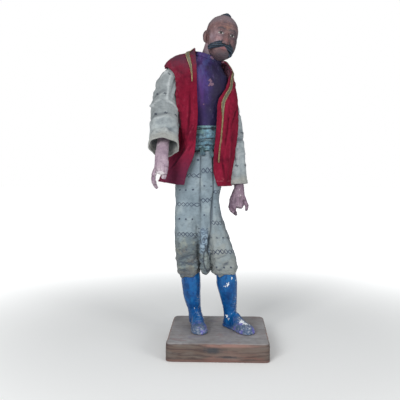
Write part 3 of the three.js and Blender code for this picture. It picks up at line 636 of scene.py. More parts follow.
# The two creases between the lobes in front, as [height, x].
CREASES = [[[82, -21.9], [100, -21.9], [125, -21.2], [160, -20.4], [206, -20.2]],
           [[82, -11.4], [107, -10.6], [136, -8.8], [164, -4.6], [206, -5.8]]]


def leg_folds(phase):
    """Upright folds: cosines of 5 and 9 times the angle, with fine gathers of 17 times at the hem."""
    def out(angle, t):
        drift = np.cos(5 * angle + phase + 0.8 * np.sin(4 * t))
        long_folds = (0.35 + 0.75 * ease(0.35, 0.95, t)) * drift * ease(0, 0.15, t)
        short = 0.5 * np.cos(9 * angle + 2 * phase + 2 * t) * ease(0.7, 0.95, t)
        gathers = 0.55 * np.cos(17 * angle + 3 * phase) * ease(0.84, 0.97, t)
        return long_folds + short + gathers
    return out


def lobe_place(table, points):
    """The angle of a point round a lobe, from the figure's left by way of the front, and how far out it
    lies, where 1 is on the lobe's ellipse at its height."""
    rows = along(table, np.linspace(0, 1, 200))[::-1]
    z = points[:, 2] - FIGURE_BASE
    x, y, a, b = (np.interp(z, rows[:, 2], rows[:, k]) for k in (0, 1, 3, 4))
    out_z = np.maximum(z - rows[-1, 2], 0) + np.maximum(rows[0, 2] - z, 0)
    wide, deep = (points[:, 0] - x) / a, -(points[:, 1] - y) / b
    return np.arctan2(deep, wide), np.sqrt(wide**2 + deep**2) + out_z / 8


def pressed(across, along_it, folds):
    """Soft folds: each row is [middle across, middle along, turn in degrees, half length, half width,
    height], and gives its height times a bell over its width times a bell over its length."""
    total = np.zeros(np.broadcast(across, along_it).shape)
    for middle, up, turn, length, width, height in folds:
        c, s = math.cos(math.radians(turn)), math.sin(math.radians(turn))
        far, side = across - middle, along_it - up
        total += height * bell(far * c + side * s, 0, length) * bell(side * c - far * s, 0, width)
    return total


def chance_folds(count, seed, box, turns, lengths, height, widths=(0.9, 2.2)):
    """Rows for pressed, spread by chance over a box of the cloth."""
    chance = np.random.default_rng(seed)
    low_x, high_x, low_y, high_y = box
    return np.column_stack([
        chance.uniform(low_x, high_x, count), chance.uniform(low_y, high_y, count),
        chance.uniform(*turns, count), chance.uniform(*lengths, count), chance.uniform(*widths, count),
        height * chance.uniform(-1, 1, count),
    ])


skin = weld("trouser_skin", [
    swept(SEAT, 60, 96), swept(LEG_RIGHT, 110, 110, out=leg_folds(0.6)),
    swept(LEG_LEFT, 110, 110, out=leg_folds(2.1)), swept(SPARE_CLOTH, 80, 56)], 1.05)
even_out(skin, 4)
points, facing = places(skin), facings(skin)
quads = np.array([face.vertices[:] for face in skin.data.polygons])
lobe_turn, lobe_out = np.stack([lobe_place(lobe[0], points) for lobe in LOBES], 1)
z = points[:, 2] - FIGURE_BASE
crease_x = [np.interp(z, *np.transpose(line)) for line in CREASES]
frontal = ease(0.2, -0.3, facing[:, 1])
between = (points[:, 0] > crease_x[0]).astype(int) + (points[:, 0] > crease_x[1])
nearest = np.where((z > 122) & (frontal > 0.2), between, lobe_out.argmin(0))
radius = np.array([lobe[2] for lobe in LOBES])
own_turn = lobe_turn[nearest, np.arange(len(points))]
arc = own_turn * radius[nearest]
knee_folds = [[23, 92, 12, 14, 2.2, 0.9], [30, 86, 150, 11, 2, -0.8], [12, 80, 25, 10, 1.8, 0.9],
    [20, 74, 175, 15, 1.5, 0.8], [28, 70, 10, 9, 1.4, -0.8], [18, 100, 160, 12, 2.4, 0.7],
    [34, 104, 20, 9, 2, 0.6], [8, 108, 140, 10, 2, 0.6], [24, 87, 161, 10, 1.0, -1.5],
    [24, 79, 8, 12, 0.9, -1.1], [12, 77, 100, 7, 1.2, 0.9], [24, 128, 4, 12, 2.6, 0.45],
    [16, 158, 170, 12, 3, 0.5], [30, 176, 30, 10, 2.4, 0.6]]
creasing = 1.5 * pressed(arc, z, knee_folds) * np.where(nearest == 2, 0.4, 1)
creasing += pressed(arc, z, chance_folds(90, 5, (-47, 47, 64, 116), (-35, 35), (4, 11), 1.2))
crease_reach = frontal * ease(66, 84, z) * ease(209, 203, z)
deep = 2.9 * crease_reach * sum(bell(points[:, 0], line, 1.1) for line in crease_x)
# The depth of the front creases, with narrow lines along them, kept for painted shade in the cloth's colour.
tone = deep - 1.5 * crease_reach * sum(bell(points[:, 0], line, 0.7) for line in crease_x)
middle = 1.5 * bell(points[:, 0], sum(crease_x) / 2, 4.5) * ease(95, 130, z) * ease(209, 196, z)
creasing += middle * frontal - deep
loop = [[-14.6, 86, 70, 8, 6, 2.2], [-14.4, 86.5, 70, 4, 2, -2.6], [-13.6, 97, 100, 8, 1.2, -1.4],
    [-16.5, 104, 75, 9, 1.1, -1.2]]
creasing += pressed(points[:, 0], z, loop) * frontal * (nearest == 1)
creasing += pressed(arc, z, chance_folds(60, 6, (-47, 47, 112, 205), (20, 160), (8, 22), 0.5))
left_fold = pressed(points[:, 0], z, [[-7.2, 135, 88, 26, 1.6, -1.3], [-4, 96, 96, 20, 1.8, 1.0],
    [8, 120, 112, 24, 1.6, -0.9], [12, 96, 105, 20, 1.8, 0.8]]) * (nearest == 2) * (facing[:, 1] < 0.2)
hem = 0.5 * bell(z, 66.5, 1.6) - 0.35 * bell(z, 69.6, 0.7)
unevenness = 0.35 * waves(points, 17, 11) + 0.12 * waves(points, 5, 12)
points += facing * (creasing + left_fold + hem * (nearest != 1) + unevenness)[:, None]
centres = points[quads].mean(1)
keep = centres[:, 2] < FIGURE_BASE + TROUSER_TOP - 0.7
for calf in (CALF_RIGHT, CALF_LEFT):
    _, out_of_boot = lobe_place(calf, centres)
    keep &= (out_of_boot > 1.09) | (centres[:, 2] > FIGURE_BASE + 66)
quads = quads[keep]
used, index = np.unique(quads, return_inverse=True)
quads = index.reshape(-1, 4)
points, nearest, lobe_turn, z = points[used], nearest[used], lobe_turn[:, used], z[used]
creasing = (creasing + left_fold)[used]
face_lobe = np.median(nearest[quads], axis=1).astype(int)
corner_turn = lobe_turn[face_lobe[:, None], quads]
corner_turn += math.tau * np.round((corner_turn[:, :1] - corner_turn) / math.tau)
row_height = np.array([lobe[1] for lobe in LOBES])[face_lobe][:, None]
sag = (0.9 * waves(points, 40, 14))[quads]
round_lobe = corner_turn * radius[face_lobe][:, None]
across_cloth = np.where(face_lobe[:, None] == 1, -points[:, 0][quads], round_lobe)
cloth_map = np.stack([across_cloth, z[quads] - row_height + sag], -1)
trousers = new_piece("trousers_cloth", points, quads.tolist(), cloth_map.reshape(-1, 2))
bpy.data.objects.remove(skin)
# How deep each point lies in a crease or fold, for the material to darken as painted shade.
mark(trousers, crease=0.5 - 0.5 * (creasing + tone[used]))
own_soil = np.array([lobe[3] for lobe in LOBES])[nearest]
mark(trousers, soil=own_soil * ease(130, 88, z) + 0.3 * bell(z, 66, 4),
     petal=(nearest == 1) * pressed(points[:, 0], z, [[-12.9, 82, 97, 11.5, 3.2, 1]]),
     yellowed=(nearest == 2) * ease(150, 100, z))
beyond_crease = ease(0, 1, points[:, 0] - crease_x[0][used])
mark(trousers, flowers=(nearest == 1) * beyond_crease * ease(124, 114, z) * ease(88, 96, z))


def thicken(piece, metres):
    """Gives cloth its thickness, inward from the modelled face."""
    wall = piece.modifiers.new("thickness", "SOLIDIFY")
    wall.thickness, wall.offset = metres, -1
    return wall


thicken(trousers, 0.0005)


def grown(place, scale):
    """A vector times a number."""
    return add_node(place.tree, "VectorMath", {0: place, 3: scale}, operation="SCALE")[0]


def cloth_place(tree):
    """The place on the sheet of cloth, in metres."""
    return add_node(tree, "UVMap", uv_map="cloth")[0]


# Weave: threads that cross at right angles, one over and one under, with painted shade in the gaps between
# them.
WEAVE, into, out = shader_group("plain_weave", [
    ("Vector", "Vector", None), ("Threads", "Float", 1400.0),
], [("Height", "Float"), ("Gap", "Float")])
scaled = grown(into["Vector"], into["Threads"])
place = parts_of(scaled)
crossing = calc("SINE", place["X"] * math.pi) * calc("SINE", place["Y"] * math.pi)
give(crossing + noise(scaled, 0.35, 2), out["Height"])
give(fade(abs(crossing), 0.35, 0.0), out["Gap"])

# Print: rows of a diamond lattice and, half way between them, rows of dots, in millimetres of cloth.
PRINT, into, out = shader_group("printed_rows", [
    ("Vector", "Vector", None), ("Repeat", "Float", 34.0), ("Diamond", "Float", 4.9),
    ("Dot Pitch", "Float", 7.9), ("Dot Width", "Float", 1.15), ("Dot Height", "Float", 1.0),
], [("Diamonds", "Float"), ("Dots", "Float")])
scaled = grown(into["Vector"], 1000.0)
wander = add_node(PRINT, "TexNoise", {"Vector": scaled, "Scale": 0.22, "Detail": 2.0})["Color"]
wander = grown(vector("SUBTRACT", wander, (0.5, 0.5, 0.5)), 1.5)
place = parts_of(vector("ADD", scaled, wander))
half_repeat = into["Repeat"] * 0.5
from_row = calc("WRAP", place["Y"], half_repeat, half_repeat * -1)
half_diamond = into["Diamond"] * 0.5
rising = calc("PINGPONG", place["X"] + from_row, half_diamond)
falling = calc("PINGPONG", place["X"] - from_row, half_diamond)
line = calc("MAXIMUM", fade(rising, 0.85, 0.35), fade(falling, 0.85, 0.35))
give(line * fade(abs(from_row), 2.9, 2.1), out["Diamonds"])
from_dots = calc("PINGPONG", place["Y"] + half_repeat, half_repeat)
dot_x = calc("PINGPONG", place["X"], into["Dot Pitch"] * 0.5) / into["Dot Width"]
dot_y = from_dots / into["Dot Height"]
give(fade(dot_x**2 + dot_y**2, 1.5, 0.5), out["Dots"])

printed, tree, shader, place = new_finish("printed_cotton")
cloth = cloth_place(tree)
soil = attribute(tree, "soil")
crease = attribute(tree, "crease")
clean = clouded(place, 42.0, (0.195, 0.25, 0.285), (0.115, 0.155, 0.185), (0.29, 0.345, 0.365), 1.0)
stain_noise = noise(place, 55, 5, 0.62)
stain = fade(soil * 0.75 + stain_noise * 0.7, 0.45, 1.0)
patchy = noise(stretched(place, (1, 1, 0.7)), 95, 5, 0.65)
stain_colour = coats((0.105, 0.135, 0.145), [
    (fade(patchy, 0.5, 0.66), (0.23, 0.245, 0.2)),
    (fade(patchy, 0.47, 0.34), (0.04, 0.052, 0.06)),
])
yellowed = attribute(tree, "yellowed") * fade(noise(place, 60, 3), 0.35, 0.6, 0.2, 0.7)
rows = use_group(PRINT, {"Vector": cloth, "Repeat": PRINT_REPEAT})
faded = fade(noise(place, 90, 3), 0.3, 0.6, 0.75, 1.0) * fade(soil, 0.4, 1.0, 1.0, 0.65)
flowers = attribute(tree, "flowers")
swirl = add_node(tree, "TexNoise", {"Vector": place, "Scale": 150.0})["Color"]
warped = vector("ADD", place, stretched(swirl, (0.006, 0.006, 0.006)))
petals = add_node(tree, "TexVoronoi", {"Vector": warped, "Scale": 165.0, "Randomness": 0.9})["Distance"]
petal_rings = calc("SINE", petals * 15.0)
speckle = fade(noise(place, 520, 3), 0.62, 0.7, 0, 0.55)
in_fold = fade(crease, 0.56, 1.1)
petal = attribute(tree, "petal") + (noise(place, 170, 4) - 0.5) * 0.45
threads = use_group(WEAVE, {"Vector": cloth, "Threads": 1500.0})
wrinkles = noise(stretched(cloth, (70, 260, 1), (0, 0, 0.25)), 1.0, 3, 0.5, 0.6)
# Fine wrinkles in the soiled cloth, cut in by the bump and darkened as painted shade.
wrinkled = fade(abs(wrinkles - 0.5), 0.035, 0.0) * fade(soil, 0.0, 0.8, 0.12, 0.75)
colour = coats(clean["Colour"], [
    (stain * 0.85, stain_colour),
    (fade(soil * noise(place, 120, 5), 0.42, 0.66, 0, 0.55), (0.12, 0.1, 0.085)),
    (yellowed, (0.26, 0.272, 0.252)),
    (rows["Diamonds"] * faded, (0.022, 0.032, 0.065)),
    (rows["Dots"] * faded, (0.025, 0.035, 0.065)),
    (flowers * 0.55, (0.13, 0.2, 0.29)),
    (flowers * fade(petal_rings, 0.2, 0.8, 0, 0.7), (0.3, 0.4, 0.48)),
    (flowers * fade(petal_rings, -0.5, -0.9, 0, 0.7), (0.04, 0.065, 0.12)),
    (speckle * soil, (0.07, 0.075, 0.075)),
    # painted shade in the creases and folds
    (in_fold * 0.8, (0.06, 0.078, 0.1)),
    (fade(petal, 0.12, 0.3) * fade(petal, 0.5, 0.34), (0.03, 0.038, 0.05)),
    (fade(petal, 0.42, 0.7, 0, 0.6), (0.24, 0.275, 0.26)),
    # painted shade between the threads
    (threads["Gap"] * 0.16, (0.08, 0.1, 0.12)),
    # painted shade along the fine wrinkles
    (wrinkled * 0.85, (0.036, 0.044, 0.05)),
])
relief = threads["Height"] * 0.35 + clean["Height"] - wrinkled
surface(shader, colour, fade(stain_noise, 0.2, 0.8, 0.84, 0.95), relief, 0.0004, 0.7,
        {"Sheen Weight": 0.15, "Sheen Roughness": 0.5})
place_piece(trousers, printed, "trouser_cotton", "trousers")

# The shirt body: chest and shoulders carved in one with a high round collar, and painted as a tight
# shirt. The purple paint is painted lighter and magenta at the figure's right, the lit side, and painted
# shade makes it nearly black at its left.
BODY_TURN = math.radians(18)
WAIST = [-14.5, 2.5, 17.6, 13.6, 0]
CHEST = [[TROUSER_TOP + 0.4, *WAIST], [224, *WAIST], [242, *WAIST], [262, -15.5, 1.5, 23.5, 16, -0.06],
    [283, -16.5, 1, 29.5, 17.4, -0.15], [298, -16.5, 1.5, 28.5, 16.6, -0.24],
    [307, -15, 2.5, 22.4, 14.8, -0.3], [312.6, -13.2, 3, 16, 12.8, -0.34],
    [317.7, -11.2, 3, 13.8, 12.2, -0.36]]


def section_points(rows, angle, out=0.0):
    """Points of level sections of [z, x, y, half width, half depth, tilt]: ellipses that are turned with
    the shoulders. The angle is 0 in front and a quarter turn at the figure's right."""
    z, x, y, half_width, half_depth, tilt = np.moveaxis(np.asarray(rows, float), -1, 0)
    sideways, back = -(half_width + out) * np.sin(angle), -(half_depth + out) * np.cos(angle)
    turned = sideways * math.cos(BODY_TURN) - back * math.sin(BODY_TURN)
    deep = y + sideways * math.sin(BODY_TURN) + back * math.cos(BODY_TURN)
    return np.stack([x + turned, deep, z + tilt * turned + FIGURE_BASE], -1)


CHEST_ROWS, CHEST_SIDES = 130, 150
chest_share = np.linspace(1, 0, CHEST_ROWS)[:, None]
chest_turn = np.arange(CHEST_SIDES)[None] / CHEST_SIDES * math.tau
chest_rows = along(CHEST, chest_share)
breast = 1.5 * bell(chest_share, 0.56, 0.13) * np.maximum(np.cos(chest_turn), 0)
breast = breast * bell(np.abs(np.sin(chest_turn)), 0.5, 0.35)
collar = 0.8 * ease(0.895, 0.915, chest_share) - 0.5 * bell(chest_share, 0.885, 0.012)
rings = section_points(chest_rows, chest_turn, breast + collar)
uneven = 0.3 * waves(rings, 15, 31) + 0.12 * waves(rings, 5, 32)
rings += unit(rings - rings.mean(1, keepdims=True)) * uneven[..., None]
rim = np.array([[-3.4, -1.0], [-2.6, 0.1], [-1.6, 0.75], [-0.6, 0.8], [0.2, 0.5]])
roll = section_points(chest_rows[:1], chest_turn, rim[:, :1] + 0.7)
roll[..., 2] += rim[:, 1:]
points, faces = closed_stack(np.concatenate([roll, rings]))
shirt = new_piece("shirt_body", points, faces)
mark(shirt, chips=ragged_spots(points - [0, 0, FIGURE_BASE], [
    [-8, -15.2, 284.5, 2.9], [-9.4, -15.4, 288.5, 1.5], [-3, -14.6, 297, 1.1], [-14, -14.6, 272, 1.2],
    [3, -12.4, 276, 1.3], [-7, -10, 314.6, 1.9], [-2.4, -8.6, 311.6, 1.6], [-17, -13.8, 262, 1.0]], 33))

violet, tree, shader, place = new_finish("rubbed_violet_paint")
where = parts_of(place)
paint = clouded(stretched(place, (1, 1, 0.5)), 90.0, (0.032, 0.017, 0.095), (0.017, 0.009, 0.045),
    (0.052, 0.03, 0.155), 1.0)
brushed = noise(stretched(place, (1, 1, 0.35)), 150, 4, 0.6)
leftward = fade(where["X"] + brushed * 0.01, -0.006, -0.021)
blueness = fade(where["Z"], 0.298, 0.325) * fade(brushed, 0.42, 0.6)
dim = fade(where["X"] + noise(place, 60) * 0.008, -0.014, 0.002)
rubs = fade(noise(stretched(place, (1, 1, 0.5)), 260, 4), 0.58, 0.72, 0, 0.3)
worn = chipped(place, 480.0, 0.8)
colour = coats(paint["Colour"], [
    # Painted light: lighter and more magenta on the figure's right, the lit side. Painted shade: nearly black
    # on its left, the far side.
    (leftward * fade(brushed, 0.35, 0.62, 0.15, 0.75), (0.105, 0.03, 0.145)),
    (blueness * 0.5, (0.05, 0.07, 0.19)),
    (dim * 0.8, (0.014, 0.011, 0.026)),
    (fade(where["Z"], 0.295, 0.265, 0, 0.65), (0.02, 0.016, 0.055)),
    (rubs, (0.12, 0.09, 0.2)),
    (worn["Rim"] * 0.5, (0.12, 0.07, 0.11)),
    (worn["Chip"] * 0.6, (0.21, 0.12, 0.15)),
])
rough = fade(noise(place, 150), 0.3, 0.7, 0.42, 0.62)
surface(shader, colour, rough, paint["Height"] - worn["Chip"], 0.0003, 0.7, {"Specular IOR Level": 0.15})
place_piece(shirt, violet, "shirt_paint", "torso")

# The sash: one strip of brocade wound twice, the lower turn first, with pleats that run along it. It
# starts and ends under the vest on the figure's left, and two short loops hang out of it in front.
LOW_TURN_TOP, SASH_TOP = 222.2, 237.5
STRIP_WIDTH, STRIP_RADIUS, STRIP_STEPS, STRIP_LINES = 17.5, 17.5, 480, 32
strip_turn = np.linspace(-math.pi / 2, 3.5 * math.pi, STRIP_STEPS)[:, None]
across_strip = np.linspace(0, 1, STRIP_LINES)[None]
climb = ease(1.32 * math.pi, 1.62 * math.pi, strip_turn)
strip_top = LOW_TURN_TOP + (SASH_TOP - LOW_TURN_TOP) * climb
strip_height = 12.9 + 4.2 * climb
strip_z = strip_top - across_strip * strip_height
swell = np.sin(math.pi * np.clip(across_strip, 0.03, 0.97)) ** 0.45
lie = 0.55 + 0.7 * climb + (1.15 - 0.45 * climb) * swell
slow = 0.9 * np.sin(3 * strip_turn + 1) + 0.6 * np.sin(5.3 * strip_turn)
# Pleats, as [share across the strip, depth, bends, gaps, phase].
PLEATS = [[0.13, 0.6, 1.3, 0.9, 0], [0.27, 0.55, 2.1, 1.4, 2], [0.47, 0.3, 1.1, 2.3, 1],
    [0.64, 0.45, 1.7, 1.9, 4], [0.85, 0.5, 2.3, 1.2, 5]]
pleats = 0.12 * np.cos(math.tau * 2.5 * across_strip + slow)
for at, cut, bends, gaps, phase in PLEATS:
    line = at + 0.045 * np.sin(bends * strip_turn + phase) + 0.02 * np.sin(4.1 * strip_turn + 2 * phase)
    broken = 0.55 + 0.45 * np.cos(gaps * strip_turn + phase)
    pleats = pleats - cut * bell(across_strip, line, 0.032) * broken
strip_arc = strip_turn * STRIP_RADIUS
puckers = pressed(strip_arc, strip_z, chance_folds(150, 41, (-30, 200, 208, 238), (50, 130), (2, 6), 0.35))
rows = np.empty((*np.broadcast(strip_turn, across_strip).shape, 6))
rows[..., 0], rows[..., 1:] = strip_z, WAIST
points = section_points(rows, strip_turn, lie + pleats + puckers)
strip_faces = grid_faces(STRIP_STEPS, STRIP_LINES)[:, ::-1]
strip_map = np.stack(np.broadcast_arrays(strip_arc, across_strip * STRIP_WIDTH), -1)
strip_map = strip_map.reshape(-1, 2)[strip_faces]
LOOP_SIDES = 40
SASH_LOOPS = [[[-16.6, -12.4, 213, 1.4, 1.1], [-18.2, -14.6, 210.6, 2.1, 1.5], [-18, -16, 207.4, 2.5, 1.5],
    [-16.8, -17, 204.8, 2.2, 1.4], [-16, -17, 203.6, 1.1, 0.9]],
    [[-9, -11.6, 212.4, 1.3, 1.0], [-8.2, -13.8, 210, 1.9, 1.4], [-7.4, -15, 206.4, 2.1, 1.4],
    [-7.4, -16, 203, 1.7, 1.2], [-7.6, -16.4, 201, 0.9, 0.8]]]
all_points, all_faces, all_map = [points.reshape(-1, 3)], [strip_faces], [strip_map]
for number, loop in enumerate(SASH_LOOPS):
    def twist(angle, t):
        return 0.3 * np.cos(3 * angle + 5 * t + number) + 0.22 * np.cos(5 * angle - 3 * t)

    rings = swept(loop, LOOP_SIDES, LOOP_SIDES, out=twist)
    loop_faces = grid_faces(LOOP_SIDES + 1, LOOP_SIDES, True)
    loop_map = np.meshgrid(np.arange(LOOP_SIDES + 1) * 0.35, np.arange(LOOP_SIDES) * 0.3, indexing="ij")
    loop_map = np.stack(loop_map, -1).reshape(-1, 2)[loop_faces]
    all_faces.append(loop_faces + sum(len(part) for part in all_points))
    all_points.append(rings.reshape(-1, 3))
    all_map.append(loop_map)
points = np.concatenate(all_points)
sash = new_piece("wound_sash", points, np.concatenate(all_faces).tolist(),
    np.concatenate(all_map).reshape(-1, 2))
loop_points = len(points) - rows[..., 0].size
across_all = np.broadcast_to(across_strip, rows.shape[:2]).ravel()
# How deep each point lies in a pleat, for painted shade there; the loops take a fixed share of it.
mark(sash, across=np.append(across_all, np.full(loop_points, 0.5)),
     pleat=np.append((0.5 - pleats - puckers).ravel(), np.full(loop_points, 0.78)))
thicken(sash, 0.00045)

brocade, tree, shader, place = new_finish("metallic_brocade")
cloth = cloth_place(tree)
ground = clouded(place, 110.0, (0.085, 0.205, 0.285), (0.018, 0.044, 0.064), (0.24, 0.46, 0.58), 1.0)
motif = add_node(tree, "TexVoronoi", {"Vector": cloth, "Scale": 420.0, "Randomness": 0.55},
    feature="DISTANCE_TO_EDGE")[0]
figured = fade(motif, 0.16, 0.07)
glint = fade(noise(cloth, 1500, 2), 0.56, 0.68)
green = fade(noise(place, 85, 2), 0.5, 0.64)
rusty = fade(noise(place, 240, 3), 0.58, 0.66)
edge = fade(abs(attribute(tree, "across") - 0.5), 0.4, 0.47)
colour = coats(ground["Colour"], [
    (figured * 0.5, (0.2, 0.31, 0.36)),
    (green * 0.45, (0.16, 0.27, 0.22)),
    (rusty * 0.35, (0.11, 0.07, 0.06)),
    # painted shade on the figure's left side of the sash
    (fade(parts_of(place)["X"], -0.014, -0.002, 0, 0.4), (0.02, 0.045, 0.06)),
    (edge * glint * 0.9, (0.55, 0.58, 0.52)),
    (glint * 0.35, (0.4, 0.46, 0.47)),
    # painted shade in the pleats and on the loops
    (fade(attribute(tree, "pleat"), 0.55, 0.95, 0, 0.9), (0.008, 0.012, 0.02)),
])
threads = use_group(WEAVE, {"Vector": cloth, "Threads": 1700.0})
surface(shader, colour, fade(ground["Height"], 0.35, 0.65, 0.42, 0.7), threads["Height"] * 0.4 + figured,
        0.00035, 0.8, {"Metallic": figured * 0.55})
place_piece(sash, brocade, "sash_brocade", "sash")

# The sleeves: wide tubes of pale cotton with sparse woven dashes, gathered at the shoulder under the
# vest and open at the cuff, where each is turned in to a stitched hem.
RIGHT_SLEEVE = [
    [-42, -4, 297, 9, 9], [-50, -6.5, 294, 12, 12], [-55.8, -9, 285, 14, 14], [-59, -12, 268, 15, 15.4],
    [-60, -16, 250, 15.4, 16.8], [-60.3, -25, 231, 15.9, 17.6], [-60.1, -38, 212, 16.4, 18.5],
]
LEFT_SLEEVE = [[0, 10, 288, 8, 8.5], [6, 14, 281, 10.5, 10.5], [10.6, 18.4, 268, 11.4, 11.8],
    [13.8, 21.4, 252, 11.8, 12], [16.8, 22.4, 232, 11.8, 12.2], [18.6, 21.8, 212, 11.8, 12.2],
    [20.4, 20.4, 191, 11.8, 12], [22.4, 18.6, 169.4, 11.8, 12]]


def open_sleeve(name, table, radius, length, phase, dim, folds, seed):
    """A tube of cloth along the path of a table. Long folds twist round it, and creases are rows for
    pressed, laid out by the way round and the way down in millimetres."""
    steps, sides = 156, 120

    def out(angle, t):
        long_folds = 0.7 * np.cos(3 * angle + phase + 5 * t) + 0.45 * np.cos(7 * angle - 4 * t)
        return ease(0.1, 0.4, t) * long_folds

    rings = swept(table, steps, sides, out=out)
    faces = grid_faces(steps + 1, sides, True)
    round_way = np.arange(sides + 1) / sides * math.tau * radius
    down_way = np.linspace(0, length, steps + 1)
    row, column = np.divmod(np.arange((steps + 1) * sides), sides)
    corner_column = column[faces]
    corner_column[:, 1:3] = np.where(corner_column[:, 1:3] == 0, sides, corner_column[:, 1:3])
    sheet_map = np.stack([round_way[corner_column], down_way[row[faces]]], -1).reshape(-1, 2)
    piece = new_piece(name, rings.reshape(-1, 3), faces.tolist(), sheet_map)
    points, facing = places(piece), facings(piece)
    across, down = round_way[column], down_way[row]
    box = (0, math.tau * radius, 0.15 * length, 0.93 * length)
    creases = 1.3 * pressed(across, down, folds)
    creases += pressed(across, down, chance_folds(80, seed, box, (-40, 40), (4, 13), 0.95))
    hem = 0.35 * ease(length - 5.2, length - 4.6, down) - 0.35 * bell(down, length - 5.3, 0.5)
    ripple = 0.4 * np.sin(across * math.tau / 23 + phase) * ease(length - 14, length, down)
    lift = creases * (1 - 0.75 * ease(length - 6, length - 4, down)) + hem + ripple
    lift += 0.15 * waves(points, 6, seed + 1)
    move_to(piece, points + facing * lift[:, None])
    mark(piece, crease=0.5 - 0.5 * creases)
    soil = ease(length - 22, length, down) * 0.8 + 0.5 * bell(down, length - 2, 3)
    # The upper part of a sleeve is darkened by the given share, as painted shade.
    mark(piece, soil=np.clip(soil, 0, 1), dim=dim * ease(length - 6, length - 32, down))
    thicken(piece, 0.0011)
    return piece


sleeve_right = open_sleeve("sleeve_right_cloth", RIGHT_SLEEVE, 16.5, 99, 0.4, 0.5,
    [[8, 28, 78, 16, 1.6, -1.3], [13, 30, 80, 18, 1.6, 1.3], [18, 34, 84, 16, 1.6, -1.1],
    [24, 40, 95, 18, 2.0, 1.2], [38, 48, 20, 12, 2.0, -1.2], [30, 72, 4, 16, 1.7, -1.3],
    [30, 77, 6, 15, 2.0, 1.1], [44, 60, 160, 10, 1.8, 1.0], [20, 88, 172, 12, 1.6, -1.0],
    [44, 90, 10, 9, 1.5, -1.0], [14, 60, 150, 10, 1.8, 1.0], [36, 26, 60, 12, 2.2, 1.0],
    [62, 60, 15, 14, 2.2, 1.0], [74, 74, 20, 12, 2, 0.9], [84, 52, 150, 10, 2, 0.8],
    [64, 40, 170, 12, 2.4, -0.8]], 51)
sleeve_left = open_sleeve("sleeve_left_cloth", LEFT_SLEEVE, 12, 126, 2, 0,
    [[12, 82, 4, 13, 1.4, -1.3], [12, 54, 175, 12, 1.6, -1.1], [8, 36, 170, 10, 1.5, 1.0],
    [16, 70, 10, 10, 1.5, 1.0], [10, 97, 5, 12, 1.5, 0.9], [20, 96, 100, 14, 1.6, -0.9],
    [14, 44, 8, 10, 1.5, -0.9], [30, 60, 40, 12, 2.2, 0.8], [40, 84, 160, 12, 2, 0.9],
    [56, 70, 20, 12, 2, -0.9], [64, 40, 10, 12, 2, 0.9]], 53)


def sleeve_cotton(name, row_gap, row_start, dash_start):
    """Pale cotton with rows of woven dashes, given in millimetres of cloth."""
    made, tree, shader, place = new_finish(name)
    cloth = cloth_place(tree)
    soil = attribute(tree, "soil")
    clean = clouded(place, 48.0, (0.29, 0.33, 0.345), (0.17, 0.2, 0.22), (0.4, 0.44, 0.445), 1.0)
    stain_noise = noise(place, 80, 5, 0.6)
    stain = fade(soil * 0.7 + stain_noise * 0.6, 0.45, 0.95)
    spot = parts_of(grown(cloth, 1000.0))
    row_number = calc("FLOOR", spot["Y"] / row_gap)
    dash_y = calc("MODULO", spot["Y"] + row_start, row_gap) - row_gap / 2
    shifted = spot["X"] + dash_start + row_number * 2.65
    dash_x = calc("MODULO", shifted, 13.7) - 6.85
    bent = dash_y + calc("SINE", dash_x * 1.6) * 0.5
    dash = fade((dash_x / 2.5)**2 + bent**2, 1.3, 0.6) * fade(noise(place, 150, 3), 0.3, 0.6, 0.6, 1.0)
    speckle = fade(noise(place, 500, 3), 0.63, 0.7, 0, 0.5)
    wrinkles = noise(stretched(cloth, (42, 190, 1), (0, 0, 0.15)), 1.0, 3, 0.5, 0.5)
    wrinkled = fade(abs(wrinkles - 0.5), 0.03, 0.0) * fade(noise(place, 45), 0.4, 0.6, 0.1, 0.6)
    threads = use_group(WEAVE, {"Vector": cloth, "Threads": 1500.0})
    colour = coats(clean["Colour"], [
        (stain * 0.7, (0.33, 0.325, 0.29)),
        # Painted shade in the creases, on the upper sleeve, along the fine wrinkles and between the threads,
        # and a painted highlight on the crests of the folds.
        (fade(attribute(tree, "crease"), 0.6, 1.15, 0, 0.75), (0.09, 0.11, 0.13)),
        (attribute(tree, "dim"), (0.17, 0.18, 0.18)),
        (fade(attribute(tree, "crease"), 0.35, -0.3, 0, 0.6), (0.47, 0.5, 0.51)),
        (dash * fade(soil, 0.5, 0.3), (0.02, 0.028, 0.045)),
        (speckle * fade(soil, 0, 0.8, 0.3, 1), (0.1, 0.1, 0.09)),
        (wrinkled * 0.8, (0.085, 0.1, 0.11)),
        (threads["Gap"] * 0.15, (0.1, 0.12, 0.14)),
    ])
    relief = threads["Height"] * 0.35 + clean["Height"] - wrinkled
    surface(shader, colour, fade(stain_noise, 0.2, 0.8, 0.82, 0.95), relief, 0.0005, 0.8,
            {"Sheen Weight": 0.15})
    return made


cotton_right = sleeve_cotton("pale_cotton_right", 23.0, 9.5, 2.8)
cotton_left = sleeve_cotton("pale_cotton_left", 33.8, 10.1, 8.65)
place_piece(sleeve_right, cotton_right, "sleeve_cotton", "sleeve_right")
place_piece(sleeve_left, cotton_left, "sleeve_cotton", "sleeve_left")

